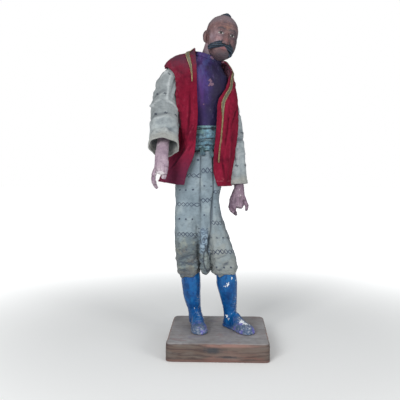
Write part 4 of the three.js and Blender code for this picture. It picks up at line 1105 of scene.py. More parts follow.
# The vest: a sleeveless coat of dark red velvet, lined, that hangs from the neck and the shoulders and
# is open in front. The pile is rubbed pale on its folds and darker and browner towards the shoulders.
# The hem is turned up and stitched, and an end of ravelled thread lies at the left corner.
VEST = [
    [321.5, -11.6, 3, 16.4, 15.2, -0.25, -27, 4], [318.5, -15.4, 2.6, 21, 16.8, -0.15, -26.3, 5.5],
    [314.5, -19.4, 2, 30, 18, -0.12, -25.6, 9.5], [306.5, -21.2, 1.2, 38.6, 20, -0.12, -24.6, 15],
    [297, -22.2, 0.6, 42.2, 21, -0.12, -24.2, 12.5], [284, -21.6, 0.2, 44.2, 22, -0.1, -23.9, 9],
    [266, -20.2, 0, 45.2, 22.6, -0.06, -23.4, 0.4], [248, -19, 0, 44.2, 22.6, -0.04, -22.9, -0.6],
    [225, -18.3, 0.5, 41.6, 22.8, -0.04, -24.8, -2], [205, -20.2, 1, 41, 23.4, -0.04, -27, -4.1],
    [185, -23.8, 1.8, 41.4, 24.6, -0.04, -34.5, -3.9], [169.5, -26.5, 2.5, 42.4, 25.5, -0.04, -38.3, -0.9],
]
# Where the arms press the cloth in: [angle, width of it, depth, height, reach up and down].
VEST_DENTS = [[1.15, 0.45, 8, 220, 26], [4.24, 0.42, 9.5, 225, 55]]
# An armhole is an oval carried along a line: [start, a point further on, side, half width, half height,
# how square it is].
ARMHOLES = [
    [[-24, -2, 266], [-90, -15, 270], [0, 1, 0], 17.3, 36.8, 3.4],
    [[5, 4, 263], [26, 46, 259], [0.89, -0.46, 0], 11.5, 29, 2.0],
]


def front_angle(rows, target):
    """The angle at which a level section reaches a given x on its front, going from the middle."""
    side, face = rows[..., 3] * math.cos(BODY_TURN), rows[..., 4] * math.sin(BODY_TURN)
    share = (target - rows[..., 1]) / np.hypot(side, face)
    return np.arctan2(face, side) - np.arcsin(np.clip(share, -0.995, 0.995))


def vest_points(down, around):
    """The outer face of the velvet. Down runs from the neck to the hem, and around from the right front
    edge by way of the back to the left front edge. Flutes deepen towards the hem."""
    down, around = np.broadcast_arrays(np.asarray(down, float), np.asarray(around, float))
    rows = along(VEST, down)
    first, last = front_angle(rows, rows[..., 6]), front_angle(rows, rows[..., 7]) + math.tau
    angle = first + (last - first) * around
    flute = 1.5 * ease(0.35, 1, down) * np.cos(8 * angle + 1.2 * np.sin(2 * angle))
    dents = sum(depth * bell(angle, at, width) * bell(rows[..., 0], height, reach)
                for at, width, depth, height, reach in VEST_DENTS)
    points = section_points(rows[..., :6], angle, flute - dents)
    neck_corner = 2.2 * bell(down, 0, 0.04) * bell(around, 0.045, 0.045)
    points[..., 2] += neck_corner + 2.4 * ease(0.8, 1, down) * bell(angle, math.pi / 2, 0.7)
    points[..., 2] -= 5.4 * ease(0.2, 0, down) * ease(0.84, 1, around)
    return points


VEST_ROWS, VEST_COLUMNS = 170, 300
down, around = np.meshgrid(np.linspace(0, 1, VEST_ROWS), np.linspace(0, 1, VEST_COLUMNS), indexing="ij")
grid = vest_points(down, around)
down_way = np.concatenate([np.zeros((1, VEST_COLUMNS)),
    np.linalg.norm(np.diff(grid, axis=0), axis=-1).cumsum(0)])
round_way = np.concatenate([np.zeros((VEST_ROWS, 1)),
    np.linalg.norm(np.diff(grid, axis=1), axis=-1).cumsum(1)], axis=1)
from_left = round_way[:, -1:] - round_way
outward = unit(np.cross(np.gradient(grid, axis=1), np.gradient(grid, axis=0)))
height = grid[..., 2] - FIGURE_BASE
right_creases = [[4, 214, 125, 9, 1.3, -1.2], [12, 205, 120, 15, 1.8, 1.3], [20, 196, 115, 18, 2.0, -1.2],
    [30, 200, 110, 18, 2.4, 1.1], [9, 252, 93, 30, 1.4, -1.3], [15, 262, 97, 26, 1.8, 1.1],
    [6, 232, 110, 12, 1.3, 1.0], [34, 185, 80, 14, 2.2, -1.1], [12, 286, 60, 9, 1.8, 1.0],
    [20, 298, 40, 9, 2.0, -1.0], [21, 240, 88, 32, 1.6, -1.1], [4, 262, 92, 22, 1.2, 0.9]]
left_creases = [[14, 232, 85, 26, 1.7, -1.2], [20, 212, 95, 26, 2.0, 1.2], [8, 222, 84, 30, 1.3, 0.9],
    [28, 252, 60, 18, 2.0, -1.0], [16, 286, 50, 12, 2.2, 0.9], [26, 300, 30, 10, 2.4, 0.9],
    [12, 190, 100, 16, 1.8, -1.1], [5, 196, 88, 20, 1.2, -0.8]]
creases = pressed(round_way, height, right_creases) + pressed(from_left, height, left_creases)
long_folds = chance_folds(60, 61, (10, 200, 175, 305), (70, 110), (14, 34), 0.9, (1.6, 4))
creases += pressed(round_way, height, long_folds)
hem_way = down_way[-1:] - down_way
edge_way = np.minimum(np.minimum(round_way, from_left), np.minimum(hem_way, down_way))
creases *= ease(0, 5, edge_way)
turned = 0.4 * ease(6.4, 5.4, hem_way) - 0.45 * bell(hem_way, 6.3, 0.6) + 0.35 * bell(edge_way, 0.4, 1.2)
lift = creases + turned + 0.18 * waves(grid, 8, 62) + 0.1 * waves(grid, 3.5, 63)
grid = grid + outward * lift[..., None]
points = grid.reshape(-1, 3)
local = points - [0, 0, FIGURE_BASE]
inside_hole, hole_edge = np.zeros(len(points), bool), np.full(len(points), 9.0)
moved = points.copy()
for start, further, side, half_width, half_height, square in ARMHOLES:
    start, axis = np.array(start, float), unit(np.array(further, float) - start)
    side = unit(side - axis * (axis @ np.array(side)))
    beyond = local - start
    far = beyond @ axis
    in_plane = beyond - far[:, None] * axis
    upright = in_plane @ np.cross(axis, side) / half_height
    share = (np.abs(in_plane @ side / half_width) ** square + np.abs(upright) ** square) ** (1 / square)
    here = far > 0
    inside_hole |= here & (share < 1)
    hole_edge = np.where(here, np.minimum(hole_edge, share), hole_edge)
    moved += (in_plane / np.maximum(share, 0.01)[:, None] - in_plane) * (here & (share < 1))[:, None]
quads = grid_faces(VEST_ROWS, VEST_COLUMNS)
quads = quads[~inside_hole[quads].all(1)]
used, index = np.unique(quads, return_inverse=True)
sheet_map = np.stack([round_way.ravel(), down_way.ravel()], -1)[quads].reshape(-1, 2)
vest = new_piece("velvet_vest", moved[used], index.reshape(-1, 4).tolist(), sheet_map)
# How far each point is lifted by the folds: the crests show wear and the hollows get painted shade.
mark(vest, crest=(0.5 + 0.5 * lift).ravel()[used], shoulder=ease(0.5, 0.18, down).ravel()[used],
     hole=ease(1.16, 1.0, hole_edge)[used],
     low=(ease(222, 178, height) * ease(60, 20, round_way)).ravel()[used],
     shadow=(bell(height, 270, 28) * ease(64, 34, round_way)).ravel()[used])
ravelled = pressed(from_left, height, [[10.5, 176.2, -32, 5.5, 0.5, 1]])
mark(vest, stitch=(bell(hem_way, 6.3, 0.55) + ravelled).ravel()[used])
wall = thicken(vest, 0.0017)
wall.material_offset, wall.material_offset_rim = 1, 0

velvet, tree, shader, place = new_finish("dark_red_velvet")
cloth = cloth_place(tree)
pile = clouded(place, 60.0, (0.175, 0.0085, 0.026), (0.095, 0.005, 0.017), (0.235, 0.014, 0.038), 0.9)
nap = noise(stretched(cloth, (900, 260, 1)), 1.0, 3, 0.6)
crest = attribute(tree, "crest")
threads_worn = fade(noise(stretched(cloth, (620, 16, 1), (0, 0, 0.12)), 1.0, 2), 0.64, 0.71)
dusty = attribute(tree, "shoulder") * fade(noise(place, 130, 4), 0.3, 0.6, 0.3, 1)
rim_wear = attribute(tree, "hole") * fade(noise(place, 300, 3), 0.42, 0.6)
colour = coats(pile["Colour"], [
    (fade(nap, 0.5, 0.7, 0, 0.35), (0.25, 0.014, 0.035)),
    # painted shade in the hollows of the folds
    (fade(crest, 0.4, -0.15, 0, 0.75), (0.035, 0.002, 0.008)),
    (fade(crest * noise(place, 240, 4), 0.4, 0.66, 0, 0.45), (0.26, 0.04, 0.07)),
    (threads_worn * fade(noise(place, 70), 0.42, 0.62, 0, 0.4), (0.33, 0.1, 0.12)),
    (attribute(tree, "stitch") * fade(noise(place, 160), 0.44, 0.6, 0, 0.6), (0.36, 0.11, 0.13)),
    # darker and browner towards the shoulders
    (dusty, (0.072, 0.028, 0.044)),
    (attribute(tree, "shadow") * 0.36, (0.07, 0.001, 0.008)),
    (attribute(tree, "low") * 0.65, (0.068, 0.02, 0.046)),
    (rim_wear * 0.3, (0.2, 0.05, 0.07)),
])
relief = nap + noise(place, 1600, 2) * 0.6
surface(shader, colour, fade(pile["Height"], 0.3, 0.7, 0.8, 0.95), relief, 0.0003, 0.7, {
    "Sheen Weight": 0.12, "Sheen Roughness": 0.35, "Sheen Tint": (0.8, 0.2, 0.3), "Specular IOR Level": 0.06})
place_piece(vest, velvet, "vest_velvet", "vest")

lining, tree, shader, place = new_finish("maroon_lining")
cloth = cloth_place(tree)
plain = clouded(place, 60.0, (0.17, 0.06, 0.095), (0.1, 0.035, 0.06), (0.24, 0.1, 0.14), 0.8)
threads = use_group(WEAVE, {"Vector": cloth, "Threads": 1500.0})
# Painted shade between the threads of the lining.
colour = blend(threads["Gap"] * 0.2, plain["Colour"], (0.02, 0.006, 0.012))
surface(shader, colour, fade(plain["Height"], 0.3, 0.7, 0.6, 0.8), threads["Height"], 0.0002, 0.5)
vest.data.materials.append(lining)

# The braid: a flat woven band, green with a cord of gold thread along each side, sewn on the velvet
# from the right front edge round the neck to the left front edge.
BRAID_WIDTH, BRAID_LIFT = 4.5, 0.35
BRAID_FROM, BRAID_TO, BRAID_MIDDLE = 0.45, 0.86, 4.9
BRAID_STEPS, BRAID_LINES = 640, 21
# Steps of the first path: up the right edge, round the neck and down the left edge.
UP_STEPS, NECK_STEPS, DOWN_STEPS = 160, 220, 260
neck_way = down_way[:, VEST_COLUMNS // 2].max()


def way_at(share):
    """The way round the vest at a share of its height."""
    return np.interp(share, np.linspace(0, 1, VEST_ROWS), round_way[:, -1])


band_down = np.concatenate([
    np.linspace(BRAID_FROM, 0, UP_STEPS), np.zeros(NECK_STEPS), np.linspace(0, BRAID_TO, DOWN_STEPS)])
band_round = np.concatenate([
    np.zeros(UP_STEPS), np.linspace(0, 1, NECK_STEPS + 2)[1:-1], np.ones(DOWN_STEPS)])
corner = BRAID_MIDDLE / neck_way
centre_down = np.maximum(band_down, corner)
right_middle = 4.2 + 5.2 * ease(0.42, 0.05, centre_down)
centre_round = np.clip(band_round, right_middle / way_at(centre_down),
    1 - BRAID_MIDDLE / way_at(centre_down))
SMOOTH_OVER = 15
kernel = np.hanning(SMOOTH_OVER) / np.hanning(SMOOTH_OVER).sum()
centre_down, centre_round = (
    np.convolve(np.pad(v, SMOOTH_OVER // 2, mode="edge"), kernel, "valid")
    for v in (centre_down, centre_round))
path = vest_points(centre_down, centre_round)
band_way = np.append(0, np.linalg.norm(np.diff(path, axis=0), axis=-1).cumsum())
even = np.linspace(0, band_way[-1], BRAID_STEPS)
centre_down, centre_round = np.interp(even, band_way, centre_down), np.interp(even, band_way, centre_round)
path = vest_points(centre_down, centre_round)
by_down = (vest_points(centre_down + 1e-4, centre_round) - path) / 1e-4
by_round = (vest_points(centre_down, centre_round + 1e-4) - path) / 1e-4
away = unit(np.cross(by_round, by_down))
across_way = unit(np.cross(away, np.gradient(path, axis=0)))
inner = np.stack([(by_down**2).sum(-1), (by_down * by_round).sum(-1), (by_round**2).sum(-1)], -1)
aim_down, aim_round = (by_down * across_way).sum(-1), (by_round * across_way).sum(-1)
spread = inner[:, 0] * inner[:, 2] - inner[:, 1] ** 2
step_down = (inner[:, 2] * aim_down - inner[:, 1] * aim_round) / spread
step_round = (inner[:, 0] * aim_round - inner[:, 1] * aim_down) / spread
side_way = np.linspace(-1, 1, BRAID_LINES)[None]
width_share = (0.08 + 0.92 * ease(0, 30, even)) * (0.24 + 0.76 * ease(46, 70, even[-1] - even))
narrow = 0.5 * BRAID_WIDTH * (width_share * (1 + 0.05 * np.sin(even * 1.9)))[:, None]
band = vest_points(centre_down[:, None] + side_way * narrow * step_down[:, None],
                   np.clip(centre_round[:, None] + side_way * narrow * step_round[:, None], 0, 1))
cord = bell(np.abs(side_way), 0.8, 0.17)
plait = 0.2 * np.sin(math.tau * (even[:, None] / 1.5 + 0.8 * np.abs(side_way))) * (np.abs(side_way) < 0.66)
twist = 0.16 * np.sin(math.tau * (even[:, None] / 1.1 + 1.4 * side_way)) * cord
thick = BRAID_LIFT + 0.5 + 0.42 * cord + plait + twist - 0.45 * ease(0.94, 1, np.abs(side_way))
column = np.clip((centre_round * (VEST_COLUMNS - 1)).round().astype(int), 0, VEST_COLUMNS - 1)
line = np.clip((centre_down * (VEST_ROWS - 1)).round().astype(int), 0, VEST_ROWS - 1)
under_lift = np.convolve(np.pad(lift[line, column], 5, mode="edge"), np.ones(11) / 11, "valid")[:, None]
band += away[:, None] * (thick + under_lift)[..., None]
band_faces = grid_faces(BRAID_STEPS, BRAID_LINES)[:, ::-1]
band_map = np.stack(np.broadcast_arrays(even[:, None], side_way * BRAID_WIDTH / 2), -1)
band_map = band_map.reshape(-1, 2)[band_faces]
braid = new_piece("sewn_braid", band.reshape(-1, 3), band_faces.tolist(), band_map.reshape(-1, 2))
# Deep: how far each point lies in a hollow of the plait, for painted shade there.
mark(braid, cord=np.broadcast_to(cord, band.shape[:2]).ravel(), deep=(0.5 - 1.6 * (plait + twist)).ravel())
thicken(braid, 0.0006)

woven, tree, shader, place = new_finish("green_and_gold_braid")
cord_share = attribute(tree, "cord")
green = clouded(place, 160.0, (0.105, 0.11, 0.065), (0.05, 0.055, 0.04), (0.15, 0.16, 0.1), 0.9)
gold = clouded(place, 260.0, (0.33, 0.235, 0.11), (0.13, 0.085, 0.05), (0.5, 0.4, 0.24), 1.0)
colour = coats(green["Colour"], [
    (fade(cord_share, 0.3, 0.6), gold["Colour"]),
    # painted shade in the hollows of the plait and the twisted cords
    (fade(attribute(tree, "deep"), 0.6, 0.9, 0, 0.6), (0.03, 0.025, 0.02)),
    (fade(noise(place, 320, 4), 0.56, 0.68, 0, 0.6), (0.1, 0.02, 0.035)),
])
fibres = noise(place, 1900, 2)
surface(shader, colour, fade(fibres, 0.3, 0.7, 0.45, 0.75), fibres + green["Height"], 0.0002, 0.6,
        {"Metallic": cord_share * 0.5})
place_piece(braid, woven, "braid", "vest_braid")

# The hands: carved and painted, with creased joints. The right one has lost its middle fingers, whose
# stump shows the pale ground, and the left one is open, its fingertips painted dark as the shade in the
# hollow of its palm.
RIGHT_PALM = [[-60.3, -29.1, 225, 6.6, 6], [-61, -37.6, 212.4, 6.8, 5.7], [-61.3, -45, 203, 7.3, 5],
    [-61, -49.5, 194, 7.6, 4.6], [-61.5, -51.5, 187, 7.4, 4.3], [-63, -52, 183, 5, 3.2]]
RIGHT_FINGERS = [[[-66, -51, 190, 2.6, 2.8], [-68.6, -52.5, 184, 2.5, 2.6], [-69.4, -52, 177, 2.3, 2.4],
    [-68.2, -49, 171, 2.1, 2.2], [-66.2, -46, 167.4, 1.5, 1.6]],
    [[-57.6, -47, 200, 3, 3], [-57, -50, 191, 3.1, 3], [-57.6, -52, 183, 2.9, 2.8],
    [-58.8, -52, 177.8, 2.4, 2.2]]]
LEFT_PALM = [[20.8, 20.2, 185.8, 6, 6], [23.4, 18.6, 174, 6, 5.8], [24.6, 18, 165.4, 5.9, 5.6],
    [23.6, 16.4, 157.4, 8.1, 5.4], [22.2, 14.8, 149.2, 9.3, 5], [20.6, 12, 142.6, 8.1, 4.4]]
LEFT_FINGERS = [[[15.4, 13.4, 148.2, 2.4, 2.4], [14.4, 9.4, 142.2, 2.4, 2.4], [16.6, 5.4, 138.2, 2.1, 2.2],
    [19.4, 3.4, 136.2, 1.6, 1.6]], [[19, 13.4, 146.2, 2.6, 2.6], [18.4, 9, 139.6, 2.5, 2.5],
    [20, 5.4, 135.6, 2.2, 2.3], [21.6, 4, 133.8, 1.5, 1.5]],
    [[28.4, 16, 157.4, 2.8, 2.8], [31, 12.8, 150.4, 2.5, 2.6], [33.6, 10, 143.8, 2.2, 2.3],
    [32.8, 8.4, 138.4, 1.5, 1.5]]]


def beside(points, table):
    """How far points lie from the smooth path of a table, where 1 is at its half width, and the share of
    the path that is nearest to each."""
    shares = np.linspace(0, 1, 60)
    rows = along(table, shares)
    far = np.linalg.norm(points[:, None] - rows[None, :, :3], axis=-1) / rows[None, :, 3]
    return far.min(1), shares[far.argmin(1)]


def carved_hand(name, palm, fingers, seed):
    """Palm and fingers in one. Each finger has a knuckle and two joints, and a nail near its tip."""
    piece = weld(name, [swept(palm, 50, 44)] + [swept(finger, 40, 30) for finger in fingers], 0.42)
    even_out(piece, 3)
    points, facing = places(piece), facings(piece)
    local = points - [0, 0, FIGURE_BASE]
    carve, tip, dark = np.zeros(len(points)), np.zeros(len(points)), np.zeros(len(points))
    for finger in fingers:
        far, share = beside(local, finger)
        on_it = ease(1.5, 1.15, far)
        joints = bell(share, 0.36, 0.03) + bell(share, 0.68, 0.03)
        carve += on_it * (0.3 * bell(share, 0.3, 0.1) + 0.25 * bell(share, 0.62, 0.08) - 0.28 * joints)
        tip = np.maximum(tip, on_it * ease(0.8, 0.95, share))
        dark = np.maximum(dark, on_it * joints)
    grooves = -0.4 * np.maximum(np.cos(local[:, 0] * 1.35 + seed), 0) ** 6 * ease(0.3, 0.8, -facing[:, 1])
    on_palm = bell(beside(local, palm)[1], 0.78, 0.14)
    carve += grooves * on_palm + 0.12 * waves(local, 5, seed) + 0.05 * waves(local, 1.8, seed + 1)
    move_to(piece, points + facing * carve[:, None])
    # The joints and the grooves between the fingers are kept as dark, for painted shade.
    mark(piece, tip=tip, dark=np.clip(dark + 0.8 * np.maximum(-grooves, 0) * on_palm / 0.4, 0, 1))
    return piece


hand_right = carved_hand("carved_hand_right", RIGHT_PALM, RIGHT_FINGERS, 71)
hand_left = carved_hand("carved_hand_left", LEFT_PALM, LEFT_FINGERS, 73)
mark(hand_right, chips=ragged_spots(places(hand_right) - [0, 0, FIGURE_BASE],
    [[-63.4, -53, 182.2, 4.2], [-60, -54, 184.6, 2.6], [-66.4, -53, 185.4, 1.6], [-62.4, -50, 200, 1.2]],
    75))
mark(hand_left, chips=ragged_spots(places(hand_left) - [0, 0, FIGURE_BASE], [
    [22, 10.6, 150, 0.8], [26.6, 12, 156, 0.7], [24.4, 12.6, 163, 0.6]], 76))

# Skin paint: clouded flesh with grime in patches and specks.
SKIN, into, out = shader_group("worn_skin_paint", [
    ("Vector", "Vector", None), ("Colour", "Color", None), ("Shade", "Color", None),
    ("Light", "Color", None), ("Grime", "Float", 0.5),
], [("Colour", "Color"), ("Height", "Float"), ("Roughness", "Float")])
flesh = clouded(into["Vector"], 95.0, into["Colour"], into["Shade"], into["Light"], 0.9)
grime_noise = noise(into["Vector"], 170, 5, 0.62)
grime = fade(grime_noise, 0.5, 0.72) * into["Grime"]
soiled = blend(grime, flesh["Colour"], (0.06, 0.05, 0.055))
specks = fade(noise(into["Vector"], 700, 2), 0.66, 0.72) * into["Grime"]
give(blend(specks, soiled, (0.05, 0.035, 0.035)), out["Colour"])
give(flesh["Height"], out["Height"])
give(fade(grime_noise, 0.3, 0.7, 0.38, 0.6), out["Roughness"])


def hand_paint(name, colour, shade, light, tip_colour):
    """Skin paint with darkened tips, painted shade at the joints and between the fingers, and chips down
    to the pale ground.
    """
    made, tree, shader, place = new_finish(name)
    base = use_group(SKIN, {
        "Vector": place, "Colour": colour, "Shade": shade, "Light": light, "Grime": 0.5})
    worn = chipped(place, 500.0, 0.7)
    tinted = coats(base["Colour"], [
        (attribute(tree, "tip") * 0.8, tip_colour),
        (attribute(tree, "dark") * 0.6, (0.07, 0.045, 0.055)),
        (worn["Rim"] * 0.5, (0.12, 0.09, 0.1)),
        (worn["Chip"], (0.52, 0.48, 0.5)),
    ])
    surface(shader, tinted, base["Roughness"], base["Height"] - worn["Chip"], 0.0003, 0.7,
            {"Specular IOR Level": 0.25})
    return made


paint_right = hand_paint(
    "skin_paint_right", (0.33, 0.25, 0.3), (0.21, 0.15, 0.2), (0.45, 0.38, 0.42), (0.26, 0.19, 0.25))
# The left hand's dark fingertips are painted shade in the hollow of its palm.
paint_left = hand_paint(
    "skin_paint_left", (0.2, 0.135, 0.18), (0.105, 0.07, 0.1), (0.31, 0.235, 0.28), (0.035, 0.03, 0.04))
place_piece(hand_right, paint_right, "skin_paint", "hand_right")
place_piece(hand_left, paint_left, "skin_paint", "hand_left")

# The head: carved in one with neck, ears, a drooping moustache and a topknot of hair. The face is calm,
# with its eyes open, and the crown is shaved and tinted grey.
HEAD_MIDDLE = np.array([3.9, -3, 340.2])
SKULL_MIDDLE, SKULL_HALF = np.array([0, 2.4, 5]), np.array([17.9, 20.6, 18.6])
JAW_MIDDLE, JAW_HALF = np.array([0.9, -5.4, -9.8]), np.array([16.0, 13.8, 18.6])
NECK = [[-10.5, 2.5, 310, 9.2, 9], [-10, 2.4, 316, 10.2, 9.6], [-6.6, 1, 326, 10.6, 10],
    [-3, 0, 335, 10.6, 10.4], [-0.4, -1, 342, 9.6, 10]]


def turned_about(axis, degrees):
    """The matrix of a turn about an axis."""
    c, s = math.cos(math.radians(degrees)), math.sin(math.radians(degrees))
    return np.array({"x": [[1, 0, 0], [0, c, -s], [0, s, c]], "y": [[c, 0, s], [0, 1, 0], [-s, 0, c]],
                     "z": [[c, -s, 0], [s, c, 0], [0, 0, 1]]}[axis])


HEAD_TURN = turned_about("y", 13) @ turned_about("z", 19) @ turned_about("x", 1)


def on_head(table):
    """A table given in the head's own frame, which looks along -Y, carried to the figure."""
    table = np.asarray(table, float)
    return np.column_stack([table[:, :3] @ HEAD_TURN.T + HEAD_MIDDLE, table[:, 3:]])


def reach_to(middle, half, direction):
    """How far a ray from the origin goes before it leaves an ellipsoid about it."""
    d, m = direction / half, middle / half
    dd, dm, mm = (d * d).sum(-1), (d * m).sum(-1), (m * m).sum(-1)
    return (dm + np.sqrt(np.maximum(dm * dm - dd * (mm - 1), 0))) / dd


EYE_ASIDE = 6.8


def eyelids(side):
    """How far open an eye is at a distance from the middle of the face, and the heights of its lids."""
    almond = np.maximum(1 - ((side - EYE_ASIDE) / 3.1) ** 2, 0)
    return almond, -0.1 + 1.5 * almond, -0.1 - 1.1 * almond


HEAD_BANDS, HEAD_SIDES = 200, 280
latitude = (np.arange(1, HEAD_BANDS) / HEAD_BANDS - 0.5)[:, None] * math.pi
longitude = np.arange(HEAD_SIDES)[None] / HEAD_SIDES * math.tau
direction = np.stack(np.broadcast_arrays(
    np.cos(latitude) * np.sin(longitude), -np.cos(latitude) * np.cos(longitude), np.sin(latitude)), -1)
skull_reach = reach_to(SKULL_MIDDLE, SKULL_HALF, direction)
jaw_reach = reach_to(JAW_MIDDLE, JAW_HALF, direction)
radius = 2.2 * np.logaddexp(skull_reach / 2.2, jaw_reach / 2.2)
x, z = direction[..., 0] * radius, direction[..., 2] * radius
side = np.abs(x)
forward = ease(0.2, 0.7, -direction[..., 1])
nose_width = 3.6 + (2.2 - 3.6) * ease(-8, 3, z)
almond, upper_lid, lower_lid = eyelids(side)
features = 5.6 * bell(x, 0, nose_width) * (1 - ease(-7, 4, z)) * ease(-11.6, -9.4, z)
features += 2.0 * bell(side, 3.4, 1.2) * bell(z, -9.2, 1.5)
features -= 1.2 * bell(side, 1.9, 0.8) * bell(z, -11.0, 0.7)
fold_line = 4.6 + 0.6 * (-8.5 - z)
features -= 0.7 * bell(side, fold_line, 0.8) * ease(-7, -9.5, z) * ease(-19, -15, z)
features -= 0.28 * (bell(z, 9.4 + 0.05 * side, 0.5) + bell(z, 12.4 + 0.04 * side, 0.5)) * ease(10, 6, side)
features += 1.5 * bell(z, 4.6, 2.2) * bell(side, 6.5, 5) - 2.3 * bell(z, -0.4, 3) * bell(side, 6.2, 3.8)
features += 1.5 * bell(np.hypot(side - EYE_ASIDE, 1.15 * (z - 0.1)), 0, 2.9)
features += 0.45 * bell(z, upper_lid + 0.7, 0.5) * (almond > 0)
features += (0.3 * bell(z, lower_lid - 0.6, 0.5) - 0.45 * bell(z, upper_lid + 1.7, 0.45)) * (almond > 0)
features += 1.2 * bell(z, -6, 3.4) * bell(side, 9.4, 3.4) + 0.9 * bell(z, -15.6, 1.8) * bell(x, 0, 4.4)
features += 0.5 * bell(z, -16.6, 1.1) * bell(x, 0, 3.6) - 0.55 * bell(z, -15.1, 0.35) * bell(x, 0, 4.2)
features += 1.1 * bell(z, -22.6, 3) * bell(x, 0, 5.5)
face = direction * (radius + forward * features)[..., None] @ HEAD_TURN.T
face += HEAD_MIDDLE + [0, 0, FIGURE_BASE]
MOUSTACHE = [on_head([
    [spread * -0.06, -17.4, -11.6, 1.8, 1.4], [spread * 0.24, -18.4, -11.8, 2.8, 2.2],
    [spread * 0.56, -17.2, -12 - droop * 0.2, 3, 2.5], [spread * 0.82, -14.8, -12 - droop * 0.45, 2.9, 2.4],
    [spread * (0.97 - curl), -12.6, -12 - droop * 0.75, 2.3, 2],
    [spread * (1 - 2 * curl), -11.6, -12 - droop, 1.1, 1],
]) for spread, droop, curl in ((-15.4, 8, 0), (12.4, 11, 0.1))]
EARS = [on_head([
    [hand * 16.8, 4, 2, 1.2, 1.8], [hand * 18, 4.6, -0.2, 2.5, 3.6], [hand * 18.2, 4.6, -4.2, 2.8, 3.8],
    [hand * 17, 3.8, -8.8, 2.4, 2.6], [hand * 15.2, 3, -11.2, 1.2, 1.2]]) for hand in (-1, 1)]
TOPKNOT = on_head([
    [-6, 3, 21.2, 1.2, 1.2], [-3, 3.2, 22.8, 2.2, 2], [1, 3.4, 24.4, 3.1, 2.6], [4, 3.6, 23.8, 2.9, 2.5],
    [5.8, 3.8, 21.4, 1.8, 1.8], [6.2, 3.8, 19.6, 0.8, 0.8]])
hair_parts = [swept(table, 60, 36, (0, 0, 1)) for table in MOUSTACHE] + [swept(TOPKNOT, 60, 36, (0, 1, 0))]
head = weld("carved_head", [face, *hair_parts, *[swept(ear, 40, 32) for ear in EARS], swept(NECK, 40, 60)],
    0.45)
even_out(head, 2)
points, facing = places(head), facings(head)
local = points - [0, 0, FIGURE_BASE]
own = (local - HEAD_MIDDLE) @ HEAD_TURN
x, y, z = own.T
side, forward = np.abs(x), ease(0.15, 0.5, -unit(own)[:, 1])
hair, strand = np.zeros(len(points)), np.zeros(len(points))
for number, table in enumerate([*MOUSTACHE, TOPKNOT]):
    far, share = beside(local, table)
    here = ease(1.32, 1.12, far)
    hair = np.maximum(hair, here)
    across = (local - along(table, share)[:, :3]) @ HEAD_TURN[:, 2]
    strand = np.where(here > 0.3, np.cos(across * 3.1 + 3 * np.sin(share * 5 + number)), strand)
hollow = np.zeros(len(points))
for ear in EARS:
    far, share = beside(local, ear)
    outer = ease(0.2, 0.8, np.abs((facing @ HEAD_TURN)[:, 0])) * ease(1.6, 1.1, far)
    hollow += outer * bell(share, 0.5, 0.2) * bell(y, 3.6, 1.5)
strand *= hair
neck_lines = 0.25 * np.cos(z * 1.1) * ease(-22, -26, z) * (1 - forward)
carve = 0.15 * strand - 1.1 * hollow + 0.1 * waves(local, 7, 81) + 0.04 * waves(local, 2.4, 82) + neck_lines
move_to(head, points + facing * carve[:, None])
almond, upper_lid, lower_lid = eyelids(side)
in_eye = forward * (almond > 0)
brow_line = 4.6 + 1.1 * bell(side, 7.6, 3.6) - 0.04 * side
mark(head, hair=np.clip(hair, 0, 1), strand=0.5 + 0.5 * strand,
     brow=forward * bell(z, brow_line, 0.95) * ease(2.2, 3.2, side) * ease(12.2, 10, side),
     lash=in_eye * np.maximum(bell(z, upper_lid + 0.1, 0.5), 0.55 * bell(z, lower_lid - 0.1, 0.4)),
     eye=in_eye * ease(-0.2, 0.2, np.minimum(upper_lid - z, z - lower_lid)),
     iris=forward * ease(1.75, 1.35, np.hypot(side - EYE_ASIDE, z - 0.15)),
     lips=forward * bell(z, -15.6, 1.9) * ease(5, 3.4, side), scalp=ease(4, 13, z + 0.35 * y) * (1 - hair))
cheeks, nose = bell(side, 8.6, 3.4) * bell(z, -6.5, 3.6), bell(x, 0, 2.6) * bell(z, -8, 2.4)
folds = bell(side, 4.6 + 0.6 * (-8.5 - z), 0.9) * ease(-7, -9.5, z) * ease(-20, -15, z)
sockets = bell(side, 4.2, 1.5) * bell(z, -1, 3) + 0.7 * bell(z, 2.9, 0.7) * bell(side, 7, 4)
sockets += 0.6 * bell(side, 7.5, 3.5) * bell(z, -3.2, 0.8)
wings = bell(side, 4.2, 0.8) * bell(z, -8.8, 1.8) + bell(side, 1.9, 0.8) * bell(z, -11, 0.8)
lined = 0.5 * (bell(z, 9.4 + 0.05 * side, 0.5) + bell(z, 12.4 + 0.04 * side, 0.5)) * ease(10, 6, side)
in_shade = 0.75 * ease(0, 13, x) * ease(18, 0, z)
under_chin = ease(-13, -24, z) * (0.5 + 0.4 * ease(-9, -2, x))
face_lines = forward * (0.7 * (folds + sockets + wings) + lined)
pale_neck = ease(-10, -14, z) * ease(-3, -8, x) * ease(-4, 0, y)
# Painted shade on the far side of the face, under the chin, in the ear hollows and in the hollows and lines
# of the face. Painted light: the lit cheek and the lit side of the neck are paler.
mark(head, shaded=np.clip(under_chin + hollow + in_shade + face_lines, 0, 1),
     pale=forward * ease(-2, -10, x) * bell(z, -7, 8) + pale_neck, blush=forward * (cheeks + nose),
     warm=forward * bell(z, 9, 5) * bell(x, -1.5, 6),
     chips=ragged_spots(own, [[-3, -19, 12, 1.3], [5.4, -17.6, 15.4, 1.0], [-9, -12, 16, 1.1],
                              [9.4, -14.6, -1.6, 0.9]], 83))

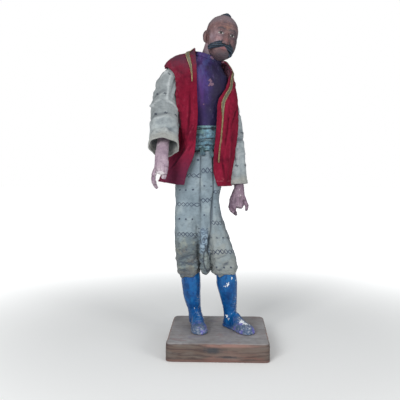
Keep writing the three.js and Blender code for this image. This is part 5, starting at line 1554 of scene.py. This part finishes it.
face_paint, tree, shader, place = new_finish("skin_and_hair_paint")
base = use_group(SKIN, {
    "Vector": place, "Colour": (0.15, 0.08, 0.078), "Shade": (0.075, 0.04, 0.046),
    "Light": (0.27, 0.17, 0.165), "Grime": 1.0})
pale = attribute(tree, "pale") * fade(noise(place, 140, 4), 0.3, 0.6, 0.3, 0.9)
flaked = fade(noise(place, 330, 5, 0.65), 0.6, 0.68, 0, 0.5)
warm = attribute(tree, "warm") * fade(noise(place, 210, 5, 0.6), 0.42, 0.62)
scalp = attribute(tree, "scalp") * fade(noise(place, 110, 4), 0.25, 0.6, 0.35, 0.85)
eye_colour = blend(attribute(tree, "iris"), (0.42, 0.4, 0.38), (0.02, 0.016, 0.014))
strand_share = attribute(tree, "strand")
hairs = noise(stretched(place, (500, 500, 1300), (0, 0.25, 0.4)), 1.0, 3)
hair_colour = blend(fade(strand_share + hairs, 0.7, 1.4), (0.004, 0.008, 0.015), (0.022, 0.038, 0.062))
worn = chipped(place, 520.0, 0.7)
colour = coats(base["Colour"], [
    # painted light on the lit side of the face and neck
    (pale, (0.26, 0.19, 0.22)),
    (attribute(tree, "blush") * 0.35, (0.2, 0.065, 0.06)),
    (flaked * fade(noise(place, 90), 0.45, 0.6), (0.3, 0.21, 0.19)),
    (warm * 0.6, (0.25, 0.125, 0.085)),
    (scalp, (0.15, 0.115, 0.13)),
    (attribute(tree, "shaded") * 0.8, (0.042, 0.038, 0.051)),
    (attribute(tree, "brow") * 0.85, (0.03, 0.028, 0.036)),
    (attribute(tree, "eye"), eye_colour),
    (attribute(tree, "lash") * 0.85, (0.035, 0.03, 0.04)),
    (attribute(tree, "lips") * 0.5, (0.24, 0.07, 0.08)),
    (fade(attribute(tree, "hair"), 0.35, 0.6), hair_colour),
    (worn["Chip"], (0.45, 0.4, 0.38)),
])
relief = base["Height"] + attribute(tree, "hair") * hairs
surface(shader, colour, base["Roughness"], relief - worn["Chip"], 0.0003, 0.7, {"Specular IOR Level": 0.3})
place_piece(head, face_paint, "skin_paint", "head")
